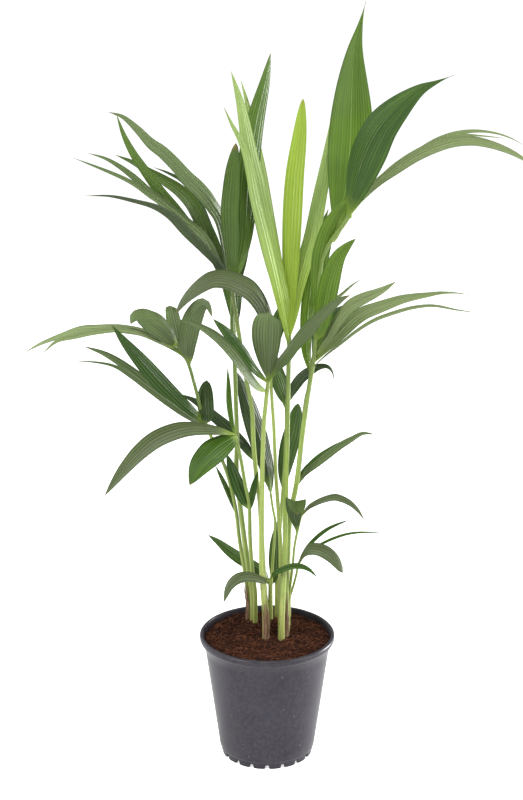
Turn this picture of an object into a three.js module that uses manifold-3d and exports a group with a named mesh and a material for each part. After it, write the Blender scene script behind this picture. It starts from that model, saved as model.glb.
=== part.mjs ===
// A young kentia-type palm, several seedlings together, in a round nursery pot.
// Millimetres, +Z up. The origin is the centre of the pot's underside; the
// view from the front looks along +Y with +X to the right.
import * as THREE from 'three';
import { mergeVertices } from 'three/addons/utils/BufferGeometryUtils.js';
import Module from 'manifold-3d';

// Pot
const POT_HEIGHT = 182;
const RIM_RADIUS = 95.2; // outside of the lip
const LIP = 7; // height of the lip's upright band
const THROAT_RADIUS = 89; // inside the lip
const THROAT_LEVEL = POT_HEIGHT - 13; // foot of the throat
const FLARE_LEVEL = 150; // where the wall begins to open out into the lip
const FLARE = [[1.2, 9], [3.8, 16], [6.6, 22]]; // outward and up from there, outside
const SHOULDER_LEVEL = FLARE_LEVEL + FLARE[0][1];
const WALL_TOP_RADIUS = 86; // outside, at the flare
const WALL_FOOT_RADIUS = 67.3; // outside, just above the foot ring
const WALL = 1.8;
const FLOOR_LEVEL = 10; // underside of the floor
const FLOOR = 2.5;
const FOOT_RADIUS = 65;
const FOOT_WALL = 3;
const FOOT_COUNT = 18;
const NOTCH_SHARE = 0.26; // of each foot's share of the ring
const NOTCH_HEIGHT = 6;
const POT_SIDES = 40;
const DRAIN_COUNT = 6;
const DRAIN_RADIUS = 7;
const DRAIN_RING = 42;

// Potting soil
const CLEARANCE = 0.3; // between pieces that touch
const SOIL_EDGE = 173; // surface level at the wall
const SOIL_RISE = 8; // of the mound under the stems
const MOUND_CENTRE = [-4, 34];
const MOUND_SPREAD = 46;
const SOIL_RINGS = 6;
const CLOD = 1.4; // height of the lumps in the surface
const CLOD_SIZE = 9;

// Stems and leaves
const STEM_END = 150; // how deep the stems reach into the soil
const STEM_SIDES = 6;
const STEM_STEP = 34;
const BLADE = 0.8; // thickness at the rib
const BLADE_EDGE = 0.66;
const BLADE_STEP = 30;
const BLADE_STEPS = [5, 9]; // fewest and most along one leaflet
const FOLD = 0.3; // fall of the margins below the rib, as a share of half the width
const ROOT_SHARE = 0.16; // width at the root, as a share of the full width
const TIP_WIDTH = 1.2;
const HUSK = 0.8; // thickness
const HUSK_STEPS = 6;
const HUSK_CLEARANCE = 1.05;

// ---------------------------------------------------------------- places

// A leaflet leaves its frond's axis `down` millimetres below the axis' end and
// follows its rib through the places given. `face` is where its upper side looks.
// Its form is how slowly it widens from the root and narrows to the tip.
const leafletOf = (rise, fall) => (down, width, face, ...rib) => (
  { down, width, face, rib, rise, fall });
const leaflet = leafletOf(0.72, 0.85);
const blunt = leafletOf(0.7, 0.6);
const tailed = leafletOf(1.25, 1.75);
const swept = leafletOf(0.9, 1.9);
const oval = leafletOf(0.9, 0.35);

// Each axis starts in the soil and is leafstalk first, then the leaf's spine.
const FRONDS = [
  {
    name: 'frond_upper_left', tone: 'deep', girth: [4.8, 2.6],
    axis: [[-20, 48, 190], [-21, 47, 223], [-26, 45, 255], [-32, 42, 306], [-40, 38, 380], [-43, 36, 415],
      [-42, 35, 462], [-43, 34, 510], [-45, 32, 580], [-48, 30, 625], [-47, 27, 663], [-49, 24, 689]],
    leaflets: [
      leaflet(5, 22, [0.3, -0.8, 0.5], [-59, 22, 767], [-72, 12, 799], [-87, 3, 821], [-102, -6, 838],
        [-119, -15, 860], [-135, -23, 878], [-150, -30, 891], [-167, -37, 911], [-185, -43, 928],
        [-203, -47, 935]),
      leaflet(0, 17, [0.5, -0.8, 0.3], [-77, 45, 730], [-104, 49, 759], [-125, 52, 785],
        [-145, 55, 809], [-163, 58, 834], [-178, 60, 856], [-191, 63, 881], [-201, 65, 909]),
      leaflet(12, 9, [0.3, -0.6, 0.7], [-83, 0, 753], [-109, -12, 783], [-134, -22, 807],
        [-153, -30, 822], [-168, -38, 836], [-183, -45, 847], [-203, -52, 858], [-225, -60, 869],
        [-248, -68, 880]),
      leaflet(8, 15, [0.3, -0.6, 0.7], [-80, 30, 746], [-110, 31, 774], [-134, 33, 794],
        [-157, 35, 812], [-176, 37, 830], [-196, 38, 845], [-216, 39, 856], [-238, 40, 862]),
      leaflet(20, 20, [0.2, -0.8, 0.6], [-66, 48, 720], [-81, 58, 746], [-93, 70, 770], [-104, 80, 787],
        [-120, 92, 801], [-141, 104, 812], [-162, 114, 821], [-183, 123, 831], [-208, 128, 840]),
      leaflet(24, 18, [0.1, 0.7, 0.7], [-61, 0, 715], [-81, -22, 747], [-103, -42, 776],
        [-122, -60, 802], [-143, -78, 820], [-169, -95, 832], [-199, -112, 842], [-231, -127, 845]),
      leaflet(30, 12, [0.3, -0.6, 0.7], [-66, 75, 720], [-80, 92, 750], [-95, 110, 781],
        [-114, 126, 803], [-137, 138, 813], [-157, 148, 818]),
      leaflet(40, 18, [0.2, -0.4, 0.9], [-57, 95, 686], [-71, 134, 706], [-86, 155, 729]),
    ],
  },
  {
    name: 'frond_upright', tone: 'deep', girth: [4.6, 2.6],
    axis: [[-1, 12, 190], [-3, 13, 226], [-7, 15, 302], [-10, 16, 371], [-15, 16, 412], [-19, 14, 462],
      [-21, 12, 511], [-29, 8, 558], [-38, 4, 620], [-45, 0, 671], [-47, -3, 694]],
    leaflets: [
      blunt(0, 25, [-0.3, -0.9, 0.2], [-48, -12, 727], [-50, -16, 761], [-51, -19, 797],
        [-49, -21, 827], [-46, -23, 857], [-41, -25, 890]),
      leaflet(3, 31, [0.3, -0.9, 0.2], [-37, -4, 725], [-30, -1, 768], [-27, 4, 814], [-22, 11, 866],
        [-14, 18, 914], [-3, 26, 960], [4, 31, 997]),
      leaflet(20, 16, [0.1, -0.8, 0.5], [-33, 50, 726], [-24, 120, 793]),
      leaflet(262, 18, [0.3, -0.7, 0.6], [-24, 30, 441], [-34, 46, 451], [-45, 54, 460], [-56, 57, 471],
        [-69, 59, 482], [-82, 61, 493], [-99, 62, 506], [-120, 63, 516]),
    ],
  },
  {
    name: 'frond_young', tone: 'fresh', girth: [4.8, 3],
    axis: [[20, -6, 190], [21, -6, 228], [25, -6, 309], [25, -3, 360], [26, 4, 417], [27, 9, 456],
      [28, 12, 518], [29, 11, 587], [30, 10, 619]],
    leaflets: [
      leaflet(18, 26, [0.3, -0.9, 0.2], [23, 6, 662], [15, 4, 698], [5, 2, 742], [-5, -1, 788],
        [-13, -4, 829], [-22, -7, 870], [-29, -10, 910], [-36, -13, 944], [-47, -16, 982]),
      leaflet(10, 17, [0.3, -0.9, 0.2], [25, 14, 653], [18, 15, 694], [9, 17, 742], [-1, 21, 799],
        [-10, 25, 852], [-19, 29, 896], [-27, 32, 932], [-35, 35, 961]),
      leaflet(12, 15, [0.2, -0.9, 0.3], [21, -4, 651], [9, -10, 708], [-4, -16, 765], [-16, -22, 816],
        [-24, -28, 862], [-34, -33, 893], [-46, -37, 917], [-56, -41, 940]),
      blunt(0, 26, [0, -1, 0.1], [30, 12, 667], [31, 11, 723], [33, 9, 786], [36, 6, 840], [42, 3, 894],
        [46, 0, 943]),
      leaflet(4, 22, [-0.3, -0.9, 0.3], [35, 14, 646], [40, 20, 679], [49, 24, 717], [59, 29, 753],
        [68, 35, 800], [78, 44, 852], [84, 52, 891], [87, 57, 919]),
      leaflet(8, 18, [0, -0.7, 0.7], [29, 50, 656], [33, 100, 713], [40, 141, 771]),
    ],
  },
  {
    name: 'frond_tall_right', tone: 'mid', girth: [4.6, 2.8],
    axis: [[26, 3, 190], [26, 4, 231], [28, 3, 307], [32, 3, 358], [41, 2, 412], [47, 1, 471], [54, 0, 529],
      [57, -1, 551], [62, -3, 587], [65, -5, 616], [70, -10, 713], [75, -12, 738], [85, -16, 759],
      [99, -20, 779], [109, -22, 796]],
    leaflets: [
      tailed(46, 59, [-0.1, -1, 0.15], [92, -8, 768], [98, 0, 796], [104, 3, 834], [108, 6, 881],
        [109, 9, 920], [110, 16, 964], [113, 22, 1002], [120, 28, 1035], [127, 33, 1064]),
      tailed(6, 51, [-0.3, -0.9, 0.4], [107, -40, 811], [115, -60, 852], [125, -78, 890],
        [140, -97, 925], [161, -115, 954], [185, -133, 979], [206, -145, 992], [227, -155, 1003]),
      blunt(0, 19, [-0.3, -0.6, 0.7], [122, -18, 814], [143, -15, 836], [168, -10, 854], [192, -5, 869],
        [217, -1, 880], [241, 3, 887], [267, 8, 888], [290, 12, 883], [313, 16, 874], [333, 19, 863],
        [350, 21, 850]),
      leaflet(7, 11, [-0.3, -0.4, 0.85], [129, -2, 817], [151, 8, 837], [175, 18, 854], [199, 28, 869],
        [225, 38, 882], [251, 46, 889], [277, 54, 890], [302, 60, 886], [324, 64, 878], [343, 66, 867]),
      leaflet(10, 8, [-0.3, -0.4, 0.85], [138, 5, 826], [164, 15, 850], [194, 25, 868], [228, 35, 882],
        [257, 42, 887], [286, 48, 884], [316, 54, 879]),
      leaflet(192, 28, [-0.2, -0.9, 0.4], [69, -22, 636], [75, -30, 673], [80, -38, 703],
        [86, -46, 728], [93, -52, 746], [103, -57, 760], [114, -62, 772]),
      leaflet(242, 20, [0.2, -0.9, 0.4], [53, 8, 598], [54, 16, 638], [57, 23, 671], [61, 31, 704],
        [67, 40, 732], [73, 49, 756], [82, 56, 782]),
      leaflet(215, 19, [-0.4, -0.8, 0.5], [80, -14, 623], [94, -26, 654], [108, -38, 674],
        [124, -48, 687], [139, -56, 696], [153, -62, 705], [167, -68, 716]),
      leaflet(205, 20, [-0.4, -0.8, 0.5], [74, 8, 615], [87, 14, 632], [101, 22, 645], [117, 30, 655]),
      swept(225, 21, [-0.4, -0.7, 0.6], [76, -1, 602], [92, 1, 619], [106, 3, 634], [118, 5, 645],
        [131, 7, 653], [147, 10, 658], [163, 13, 663], [180, 16, 668], [197, 18, 671], [215, 20, 673],
        [236, 22, 675], [260, 25, 673], [286, 28, 667]),
      leaflet(231, 6, [-0.4, -0.7, 0.6], [78, -20, 600], [96, -42, 623], [116, -65, 648],
        [138, -88, 670], [163, -110, 687], [187, -130, 700], [211, -147, 707], [238, -158, 705],
        [264, -165, 703]),
      leaflet(167, 5, [-0.3, -0.7, 0.6], [72, 5, 644], [84, 22, 660], [100, 34, 669], [115, 42, 680],
        [127, 48, 686]),
      leaflet(142, 22, [-0.2, -0.6, 0.8], [72, 20, 658], [81, 60, 674], [92, 95, 692], [102, 120, 705]),
      leaflet(165, 23, [0.1, -0.9, 0.3], [69, -12, 719], [73, -16, 749], [79, -18, 772], [88, -22, 792],
        [98, -27, 808], [110, -33, 823]),
    ],
  },
  {
    name: 'frond_front', tone: 'mid', girth: [5, 2.8],
    axis: [[-2, -6, 190], [-3, -6, 216], [-6, -5, 255], [-8, -3, 309], [-7, -6, 421], [-5, -9, 494],
      [-3, -11, 519], [0, -14, 551], [2, -15, 563]],
    leaflets: [
      leaflet(0, 27, [-0.4, -0.6, 0.7], [10, -24, 584], [23, -36, 605], [36, -48, 628], [53, -62, 652],
        [68, -74, 672], [82, -84, 688], [95, -91, 699], [106, -97, 706]),
      oval(2, 40, [0, -0.95, 0.3], [0, -26, 587], [-1, -36, 612], [-1, -44, 637], [0, -48, 658],
        [2, -44, 667]),
      leaflet(4, 22, [0.5, -0.6, 0.6], [-13, -18, 577], [-27, -34, 603], [-43, -50, 630],
        [-57, -64, 650], [-71, -78, 668]),
      swept(18, 25, [0.4, -0.6, 0.7], [-14, -33, 564], [-27, -45, 588], [-41, -60, 614],
        [-58, -78, 638], [-76, -97, 658], [-95, -116, 674], [-116, -136, 685], [-134, -150, 692]),
    ],
  },
  {
    name: 'frond_arching', tone: 'mid', girth: [4, 2.1],
    axis: [[19, 12, 190], [18, 12, 215], [19, 9, 291], [16, 8, 356], [12, 12, 414], [9, 18, 484],
      [5, 22, 546], [5, 24, 591]],
    leaflets: [
      leaflet(0, 31, [0.4, -0.7, 0.55], [3, 14, 611], [4, 6, 635], [0, -3, 653], [-8, -12, 673],
        [-21, -19, 691], [-36, -23, 701], [-50, -26, 708], [-64, -27, 710], [-76, -28, 708],
        [-89, -29, 700], [-103, -30, 688], [-114, -31, 675], [-123, -32, 659]),
      leaflet(5, 20, [-0.1, -0.5, 0.8], [16, 80, 621], [24, 134, 632]),
      leaflet(10, 18, [0.2, -0.5, 0.8], [1, 50, 592], [-5, 100, 595], [-7, 127, 600]),
    ],
  },
  {
    name: 'frond_left', tone: 'mid', girth: [3.2, 2.3],
    axis: [[-26, 53, 190], [-26, 52, 209], [-31, 50, 248], [-39, 46, 304], [-43, 42, 344], [-49, 38, 380],
      [-60, 32, 423], [-86, 22, 490], [-99, 14, 546], [-108, 8, 581], [-121, 2, 606], [-128, 0, 615]],
    leaflets: [
      leaflet(45, 17, [0.3, -0.5, 0.8], [-114, 6, 592], [-129, 6, 604], [-148, 7, 615], [-168, 10, 624],
        [-188, 14, 627], [-210, 22, 627], [-234, 33, 623], [-258, 42, 618], [-284, 52, 606],
        [-308, 63, 593], [-326, 74, 580], [-338, 82, 569]),
      leaflet(4, 11, [0.3, -0.5, 0.8], [-128, -14, 609], [-150, -22, 624], [-172, -30, 636],
        [-198, -38, 643], [-228, -46, 642], [-254, -52, 637], [-279, -57, 631], [-298, -60, 614]),
      leaflet(10, 34, [0.4, -0.7, 0.5], [-129, -10, 622], [-141, -18, 638], [-154, -26, 650],
        [-165, -34, 658], [-175, -40, 660], [-181, -44, 651]),
      leaflet(18, 20, [0.2, -0.7, 0.6], [-124, 16, 627], [-130, 28, 651], [-134, 50, 648]),
      leaflet(45, 28, [-0.1, -0.9, 0.3], [-109, -8, 608], [-104, -18, 639], [-93, -30, 667],
        [-82, -38, 676], [-73, -46, 661]),
      leaflet(135, 23, [0.1, -0.9, 0.4], [-105, -5, 515], [-125, -14, 538], [-147, -26, 567],
        [-168, -40, 598], [-188, -53, 628], [-204, -62, 654]),
      leaflet(140, 17, [0.4, -0.5, 0.7], [-106, 14, 506], [-130, 20, 524], [-158, 27, 541],
        [-181, 34, 558], [-205, 41, 573], [-227, 47, 583], [-252, 53, 589]),
      leaflet(146, 16, [0.2, 0.6, 0.8], [-105, -24, 513], [-128, -48, 540], [-153, -70, 568],
        [-176, -90, 594], [-197, -105, 613], [-222, -116, 622], [-250, -126, 626]),
      blunt(138, 23, [0, -0.95, 0.2], [-83, 12, 499], [-85, 20, 522], [-83, 26, 549]),
      leaflet(290, 8, [-0.3, -0.8, 0.4], [-55, 40, 379], [-63, 38, 399], [-72, 36, 420]),
    ],
  },
  {
    name: 'frond_low_left', tone: 'mid', girth: [3.6, 2.4],
    axis: [[-17, 34, 190], [-17, 32, 229], [-21, 25, 267], [-24, 14, 320], [-25, 6, 373], [-30, 4, 402],
      [-34, 2, 428], [-37, 0, 447], [-44, -4, 482]],
    leaflets: [
      leaflet(0, 25, [0.3, -0.6, 0.7], [-62, -18, 492], [-86, -34, 502], [-109, -52, 508],
        [-131, -70, 508], [-150, -87, 504], [-168, -104, 494], [-183, -120, 482], [-197, -138, 469],
        [-212, -160, 453]),
      leaflet(3, 37, [-0.3, -0.9, 0.4], [-52, -18, 479], [-67, -34, 475], [-82, -46, 465],
        [-94, -56, 452], [-105, -64, 430]),
      leaflet(120, 10, [-0.2, -0.9, 0.3], [-20, 1, 396], [-13, 4, 424]),
      leaflet(118, 18, [0.2, -0.9, 0.3], [-34, 5, 386], [-45, 14, 413], [-56, 22, 443]),
      leaflet(3, 8, [-0.2, -0.9, 0.3], [-48, -2, 494], [-52, 0, 522], [-53, 2, 550], [-54, 3, 574]),
    ],
  },
  {
    name: 'frond_back_slender', tone: 'deep', girth: [2.6, 1.7],
    axis: [[6, 48, 190], [6, 43, 240], [8, 32, 281], [10, 24, 315], [11, 22, 344], [8, 24, 360], [4, 28, 388]],
    leaflets: [
      leaflet(0, 29, [0.3, -0.8, 0.5], [0, 33, 418], [-9, 36, 455], [-20, 40, 489], [-29, 43, 517],
        [-37, 46, 540], [-43, 48, 555]),
      leaflet(6, 14, [0, -0.7, 0.7], [1, 60, 420], [-7, 100, 450]),
    ],
  },
  {
    name: 'frond_back_middle', tone: 'deep', girth: [3.4, 2.2],
    axis: [[14, 60, 190], [14, 58, 245], [17, 52, 301], [21, 45, 365], [24, 40, 412], [26, 36, 473],
      [26, 33, 512]],
    leaflets: [
      blunt(130, 26, [0, -0.9, 0.3], [24, 50, 408], [30, 54, 440], [37, 58, 468], [43, 62, 503]),
      swept(0, 18, [-0.3, -0.7, 0.6], [33, 36, 531], [43, 33, 548], [57, 30, 561], [71, 29, 568],
        [83, 27, 568], [90, 25, 558], [90, 23, 543]),
      leaflet(2, 20, [0.2, -0.8, 0.5], [19, 42, 532], [11, 52, 555], [9, 62, 574]),
      leaflet(8, 16, [0, -0.6, 0.8], [22, 70, 527], [14, 110, 543], [7, 134, 563]),
    ],
  },
  {
    name: 'frond_small_right', tone: 'mid', girth: [2.5, 1.8],
    axis: [[29, 45, 190], [30, 29, 285], [33, 18, 352], [38, 16, 395]],
    leaflets: [
      leaflet(0, 12, [-0.4, -0.7, 0.6], [51, 14, 417], [67, 11, 433], [83, 4, 449], [99, -4, 465],
        [114, -11, 477], [129, -16, 487], [146, -20, 487]),
      leaflet(4, 8, [-0.4, -0.7, 0.6], [48, 18, 416], [60, 22, 429], [74, 27, 440], [90, 34, 449],
        [105, 40, 456]),
    ],
  },
  {
    name: 'frond_low_right', tone: 'mid', girth: [2.4, 1.6],
    axis: [[30, 20, 190], [31, 11, 234], [35, -5, 281], [38, -10, 320], [44, -14, 353], [50, -17, 381]],
    leaflets: [
      oval(42, 27, [0, -0.95, 0.2], [37, -26, 374], [38, -37, 396], [39, -52, 397], [40, -66, 389]),
      leaflet(16, 12, [-0.2, -0.5, 0.85], [55, -20, 380], [66, -23, 389], [79, -26, 396],
        [92, -29, 400], [104, -31, 397], [115, -33, 391], [125, -35, 381], [133, -37, 368]),
    ],
  },
  {
    name: 'frond_lowest_right', tone: 'mid', girth: [2.4, 1.6],
    axis: [[31, 32, 190], [32, 26, 223], [35, 16, 240], [39, 10, 258], [42, 6, 275], [43, 4, 287]],
    leaflets: [
      leaflet(0, 6.5, [-0.4, -0.7, 0.6], [53, -1, 309], [61, 0, 320], [72, -2, 332], [84, -4, 342],
        [98, -6, 350], [114, -8, 357]),
      leaflet(3, 5.5, [-0.2, -0.4, 0.9], [54, 10, 302], [71, 15, 309], [88, 20, 316], [105, 24, 321],
        [123, 28, 323], [143, 32, 322], [164, 36, 319]),
      blunt(2, 20, [-0.2, -0.6, 0.8], [50, -12, 311], [60, -18, 319], [73, -24, 320], [84, -30, 316],
        [94, -35, 307], [104, -40, 291]),
    ],
  },
  {
    name: 'frond_low_front', tone: 'mid', girth: [2.3, 1.6],
    axis: [[2, 26, 190], [3, 12, 231], [3, 1, 255], [3, -2, 265]],
    leaflets: [
      leaflet(0, 17, [0.1, -0.6, 0.8], [-7, -17, 272], [-23, -22, 279], [-37, -28, 280],
        [-48, -32, 274], [-55, -36, 264], [-60, -40, 247]),
      leaflet(1, 10, [-0.1, -0.6, 0.8], [9, -10, 278], [20, -16, 286], [34, -20, 293], [47, -23, 294],
        [59, -25, 289], [69, -27, 279]),
    ],
  },
  {
    name: 'frond_low_back', tone: 'deep', girth: [2.4, 1.6],
    axis: [[6, 66, 190], [6, 65, 204], [5, 61, 228]],
    leaflets: [
      leaflet(0, 18, [0.2, -0.7, 0.6], [-7, 60, 249], [-22, 60, 260], [-37, 59, 270], [-53, 59, 282],
        [-68, 59, 295], [-84, 58, 307]),
      leaflet(1, 14, [0, -0.9, 0.3], [10, 46, 246], [9, 41, 275], [10, 38, 306], [14, 38, 336]),
    ],
  },
  {
    name: 'frond_rear_left', tone: 'deep', girth: [3.6, 2.1],
    axis: [[-20, 68, 190], [-21, 69, 202], [-32, 76, 293], [-41, 84, 363], [-43, 92, 438], [-44, 99, 495],
      [-45, 106, 556], [-46, 114, 608]],
    leaflets: [
      leaflet(0, 15, [0.2, -0.5, 0.8], [-51, 138, 628], [-57, 147, 653], [-68, 155, 676],
        [-82, 162, 697], [-96, 168, 715]),
      leaflet(3, 12, [0, -0.6, 0.8], [-44, 134, 607], [-41, 152, 637], [-37, 169, 668]),
      leaflet(10, 13, [0.3, -0.5, 0.8], [-52, 126, 633], [-60, 133, 662], [-74, 138, 687],
        [-90, 142, 706]),
      leaflet(20, 13, [0, -0.5, 0.8], [-45, 127, 606], [-45, 141, 638], [-44, 156, 673]),
    ],
  },
  {
    name: 'frond_rear_right', tone: 'deep', girth: [3.6, 2.1],
    axis: [[31, 64, 190], [31, 64, 203], [31, 68, 279], [34, 72, 330], [43, 78, 382], [47, 86, 440],
      [54, 94, 497], [59, 97, 518], [64, 103, 553], [70, 110, 587]],
    leaflets: [
      leaflet(0, 15, [-0.2, -0.5, 0.8], [78, 130, 631], [87, 141, 648], [96, 154, 665], [102, 163, 676]),
      leaflet(3, 15, [0, -0.6, 0.8], [67, 134, 629], [66, 152, 659], [68, 168, 689]),
      leaflet(10, 13, [-0.3, -0.5, 0.8], [79, 118, 607], [94, 126, 617], [108, 134, 622],
        [120, 141, 624]),
      leaflet(34, 13, [-0.1, -0.5, 0.8], [72, 112, 620], [77, 126, 645], [81, 138, 666]),
    ],
  },
];

// Dry brown husks, each wrapped round part of a stalk from the soil up.
const HUSKS = [
  { name: 'husk_left', frond: 'frond_left', facing: [-1, -0.5, 0], height: 75, spread: 120 },
  { name: 'husk_centre', frond: 'frond_front', facing: [0.2, -1, 0], height: 70, spread: 100 },
  { name: 'husk_right', frond: 'frond_tall_right', facing: [0.3, -1, 0], height: 75, spread: 90 },
];

const TONES = {
  deep: { color: 0x24402a, roughness: 0.5 },
  mid: { color: 0x3c6230, roughness: 0.48 },
  fresh: { color: 0x7f9e3c, roughness: 0.45 },
};

// ---------------------------------------------------------------- solids

const wasm = await Module();
wasm.setup();

/** A geometry of the triangles given, by the places of their corners in the list of points. */
function geometryOf(points, faces) {
  const geometry = new THREE.BufferGeometry().setFromPoints(points);
  geometry.setIndex(faces.flat());
  return geometry;
}

/** The solid that a closed geometry bounds. */
function solidOf(geometry) {
  const bare = geometry.clone();
  bare.deleteAttribute('normal');
  bare.deleteAttribute('uv');
  const merged = mergeVertices(bare, 1e-4);
  return new wasm.Manifold(new wasm.Mesh({
    numProp: 3,
    vertProperties: new Float32Array(merged.attributes.position.array),
    triVerts: new Uint32Array(merged.index.array),
  }));
}

/** The geometry of a solid. */
function geometryFrom(solid) {
  const { vertProperties, triVerts } = solid.getMesh();
  const geometry = new THREE.BufferGeometry();
  geometry.setAttribute('position', new THREE.BufferAttribute(vertProperties, 3));
  geometry.setIndex(new THREE.BufferAttribute(triVerts, 1));
  geometry.computeVertexNormals();
  return geometry;
}

/** A closed skin over rings of equally many points, which run anticlockwise seen from the last ring. */
function loft(rings) {
  const sides = rings[0].length;
  const faces = [];
  for (let row = 0; row < rings.length - 1; row++) {
    for (let i = 0; i < sides; i++) {
      const [a, b] = [row * sides + i, row * sides + ((i + 1) % sides)];
      faces.push([a, b, b + sides], [a, b + sides, a + sides]);
    }
  }
  const last = (rings.length - 1) * sides;
  for (let i = 1; i < sides - 1; i++) {
    faces.push([0, i + 1, i], [last, last + i, last + i + 1]);
  }
  return geometryOf(rings.flat(), faces);
}

/** A thin closed sheet between two grids of points, split into triangles alike on both faces. */
function sheet(upper, lower) {
  const [rows, columns] = [upper.length - 1, upper[0].length - 1];
  const top = (i, j) => i * (columns + 1) + j;
  const under = (i, j) => (rows + 1) * (columns + 1) + top(i, j);
  const faces = [];
  const quad = (a, b, c, d) => faces.push([a, b, c], [a, c, d]);
  for (let i = 0; i < rows; i++) {
    for (let j = 0; j < columns; j++) {
      quad(top(i, j), top(i, j + 1), top(i + 1, j + 1), top(i + 1, j));
      faces.push([under(i, j), under(i + 1, j + 1), under(i, j + 1)]);
      faces.push([under(i, j), under(i + 1, j), under(i + 1, j + 1)]);
    }
    quad(under(i, 0), top(i, 0), top(i + 1, 0), under(i + 1, 0));
    quad(top(i, columns), under(i, columns), under(i + 1, columns), top(i + 1, columns));
  }
  for (let j = 0; j < columns; j++) {
    quad(top(0, j), under(0, j), under(0, j + 1), top(0, j + 1));
    quad(top(rows, j + 1), under(rows, j + 1), under(rows, j), top(rows, j));
  }
  return geometryOf([...upper.flat(), ...lower.flat()], faces);
}

const vector = (place) => new THREE.Vector3(...place);

/** Shares from 0 to 1 in even steps. */
const evenShares = (steps) => Array.from({ length: steps + 1 }, (_, i) => i / steps);

/** A smooth curve through hand-placed points. */
function curveThrough(places) {
  return new THREE.CatmullRomCurve3(places.map(vector), false, 'catmullrom', 0.5);
}

/** Stops along a curve at the shares given, each with its direction, upward side and sideways side. */
function walk(curve, shares, face) {
  const stops = shares.map((share) => ({
    share, place: curve.getPointAt(share), along: curve.getTangentAt(share),
  }));
  const level = (stop, lean) => {
    stop.up = lean.clone().addScaledVector(stop.along, -lean.dot(stop.along)).normalize();
  };
  const middle = Math.floor(stops.length / 2);
  level(stops[middle], face);
  for (let i = middle + 1; i < stops.length; i++) level(stops[i], stops[i - 1].up);
  for (let i = middle - 1; i >= 0; i--) level(stops[i], stops[i + 1].up);
  for (const stop of stops) stop.side = new THREE.Vector3().crossVectors(stop.along, stop.up);
  return stops;
}

/** The point at a radius and a turn from the upward side of a stop. */
function around({ place, up, side }, radius, turn) {
  const [rise, aside] = [radius * Math.cos(turn), radius * Math.sin(turn)];
  return place.clone().addScaledVector(up, rise).addScaledVector(side, aside);
}

// ---------------------------------------------------------------- pot and soil

/** Inside radius of the pot's wall at a height. */
function insideRadius(height) {
  const foot = FLOOR_LEVEL + 2;
  const share = (height - foot) / (FLARE_LEVEL - foot);
  return THREE.MathUtils.lerp(WALL_FOOT_RADIUS, WALL_TOP_RADIUS, share) - WALL;
}

/** The shape of the pot, turned about its axis: foot ring, tapered wall, flared lip, floor. */
function potBody() {
  const profile = [
    [0, FLOOR_LEVEL], [FOOT_RADIUS - FOOT_WALL, FLOOR_LEVEL], [FOOT_RADIUS - FOOT_WALL - 0.6, 0],
    [FOOT_RADIUS - 0.6, 0], [FOOT_RADIUS, FLOOR_LEVEL - 1], [WALL_FOOT_RADIUS, FLOOR_LEVEL + 2],
    [WALL_TOP_RADIUS, FLARE_LEVEL],
    ...FLARE.map(([outward, up]) => [WALL_TOP_RADIUS + outward, FLARE_LEVEL + up]),
    [RIM_RADIUS - 0.3, POT_HEIGHT - LIP], [RIM_RADIUS, POT_HEIGHT - 3],
    [RIM_RADIUS - 0.8, POT_HEIGHT - 1], [RIM_RADIUS - 2.2, POT_HEIGHT],
    [THROAT_RADIUS + 2, POT_HEIGHT], [THROAT_RADIUS + 1, POT_HEIGHT - 1.5],
    [THROAT_RADIUS, THROAT_LEVEL], [insideRadius(FLARE_LEVEL) + FLARE[0][0], SHOULDER_LEVEL],
    [insideRadius(FLARE_LEVEL), FLARE_LEVEL],
    [insideRadius(FLOOR_LEVEL + FLOOR), FLOOR_LEVEL + FLOOR], [0, FLOOR_LEVEL + FLOOR],
  ];
  const lathe = new THREE.LatheGeometry(profile.map(([r, z]) => new THREE.Vector2(r, z)), POT_SIDES);
  return solidOf(lathe.rotateX(Math.PI / 2));
}

/** The pot with the gaps between its feet and the drain holes in its floor. */
function pot() {
  let body = potBody();
  const pitch = (2 * Math.PI) / FOOT_COUNT;
  const notchWidth = FOOT_RADIUS * pitch * NOTCH_SHARE;
  for (let i = 0; i < FOOT_COUNT; i++) {
    const notch = new THREE.BoxGeometry(20, notchWidth, 2 * NOTCH_HEIGHT);
    notch.translate(FOOT_RADIUS, 0, 0).rotateZ((i + 0.5) * pitch);
    body = body.subtract(solidOf(notch));
  }
  for (let i = 0; i < DRAIN_COUNT; i++) {
    const drain = new THREE.CylinderGeometry(DRAIN_RADIUS, DRAIN_RADIUS, 10, 12).rotateX(Math.PI / 2);
    drain.translate(DRAIN_RING, 0, FLOOR_LEVEL).rotateZ((2 * Math.PI * i) / DRAIN_COUNT);
    body = body.subtract(solidOf(drain));
  }
  return body;
}

/** Level of the soil's surface at a place: mounded under the stems and lumpy. */
function soilLevel(x, y) {
  const [cx, cy] = MOUND_CENTRE;
  const mound = SOIL_RISE * Math.exp(-((x - cx) ** 2 + (y - cy) ** 2) / MOUND_SPREAD ** 2);
  const lumps = Math.sin((x + 0.4 * y) / CLOD_SIZE) * Math.sin((y - 0.3 * x) / CLOD_SIZE + 1);
  return SOIL_EDGE + mound + CLOD * lumps;
}

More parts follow.
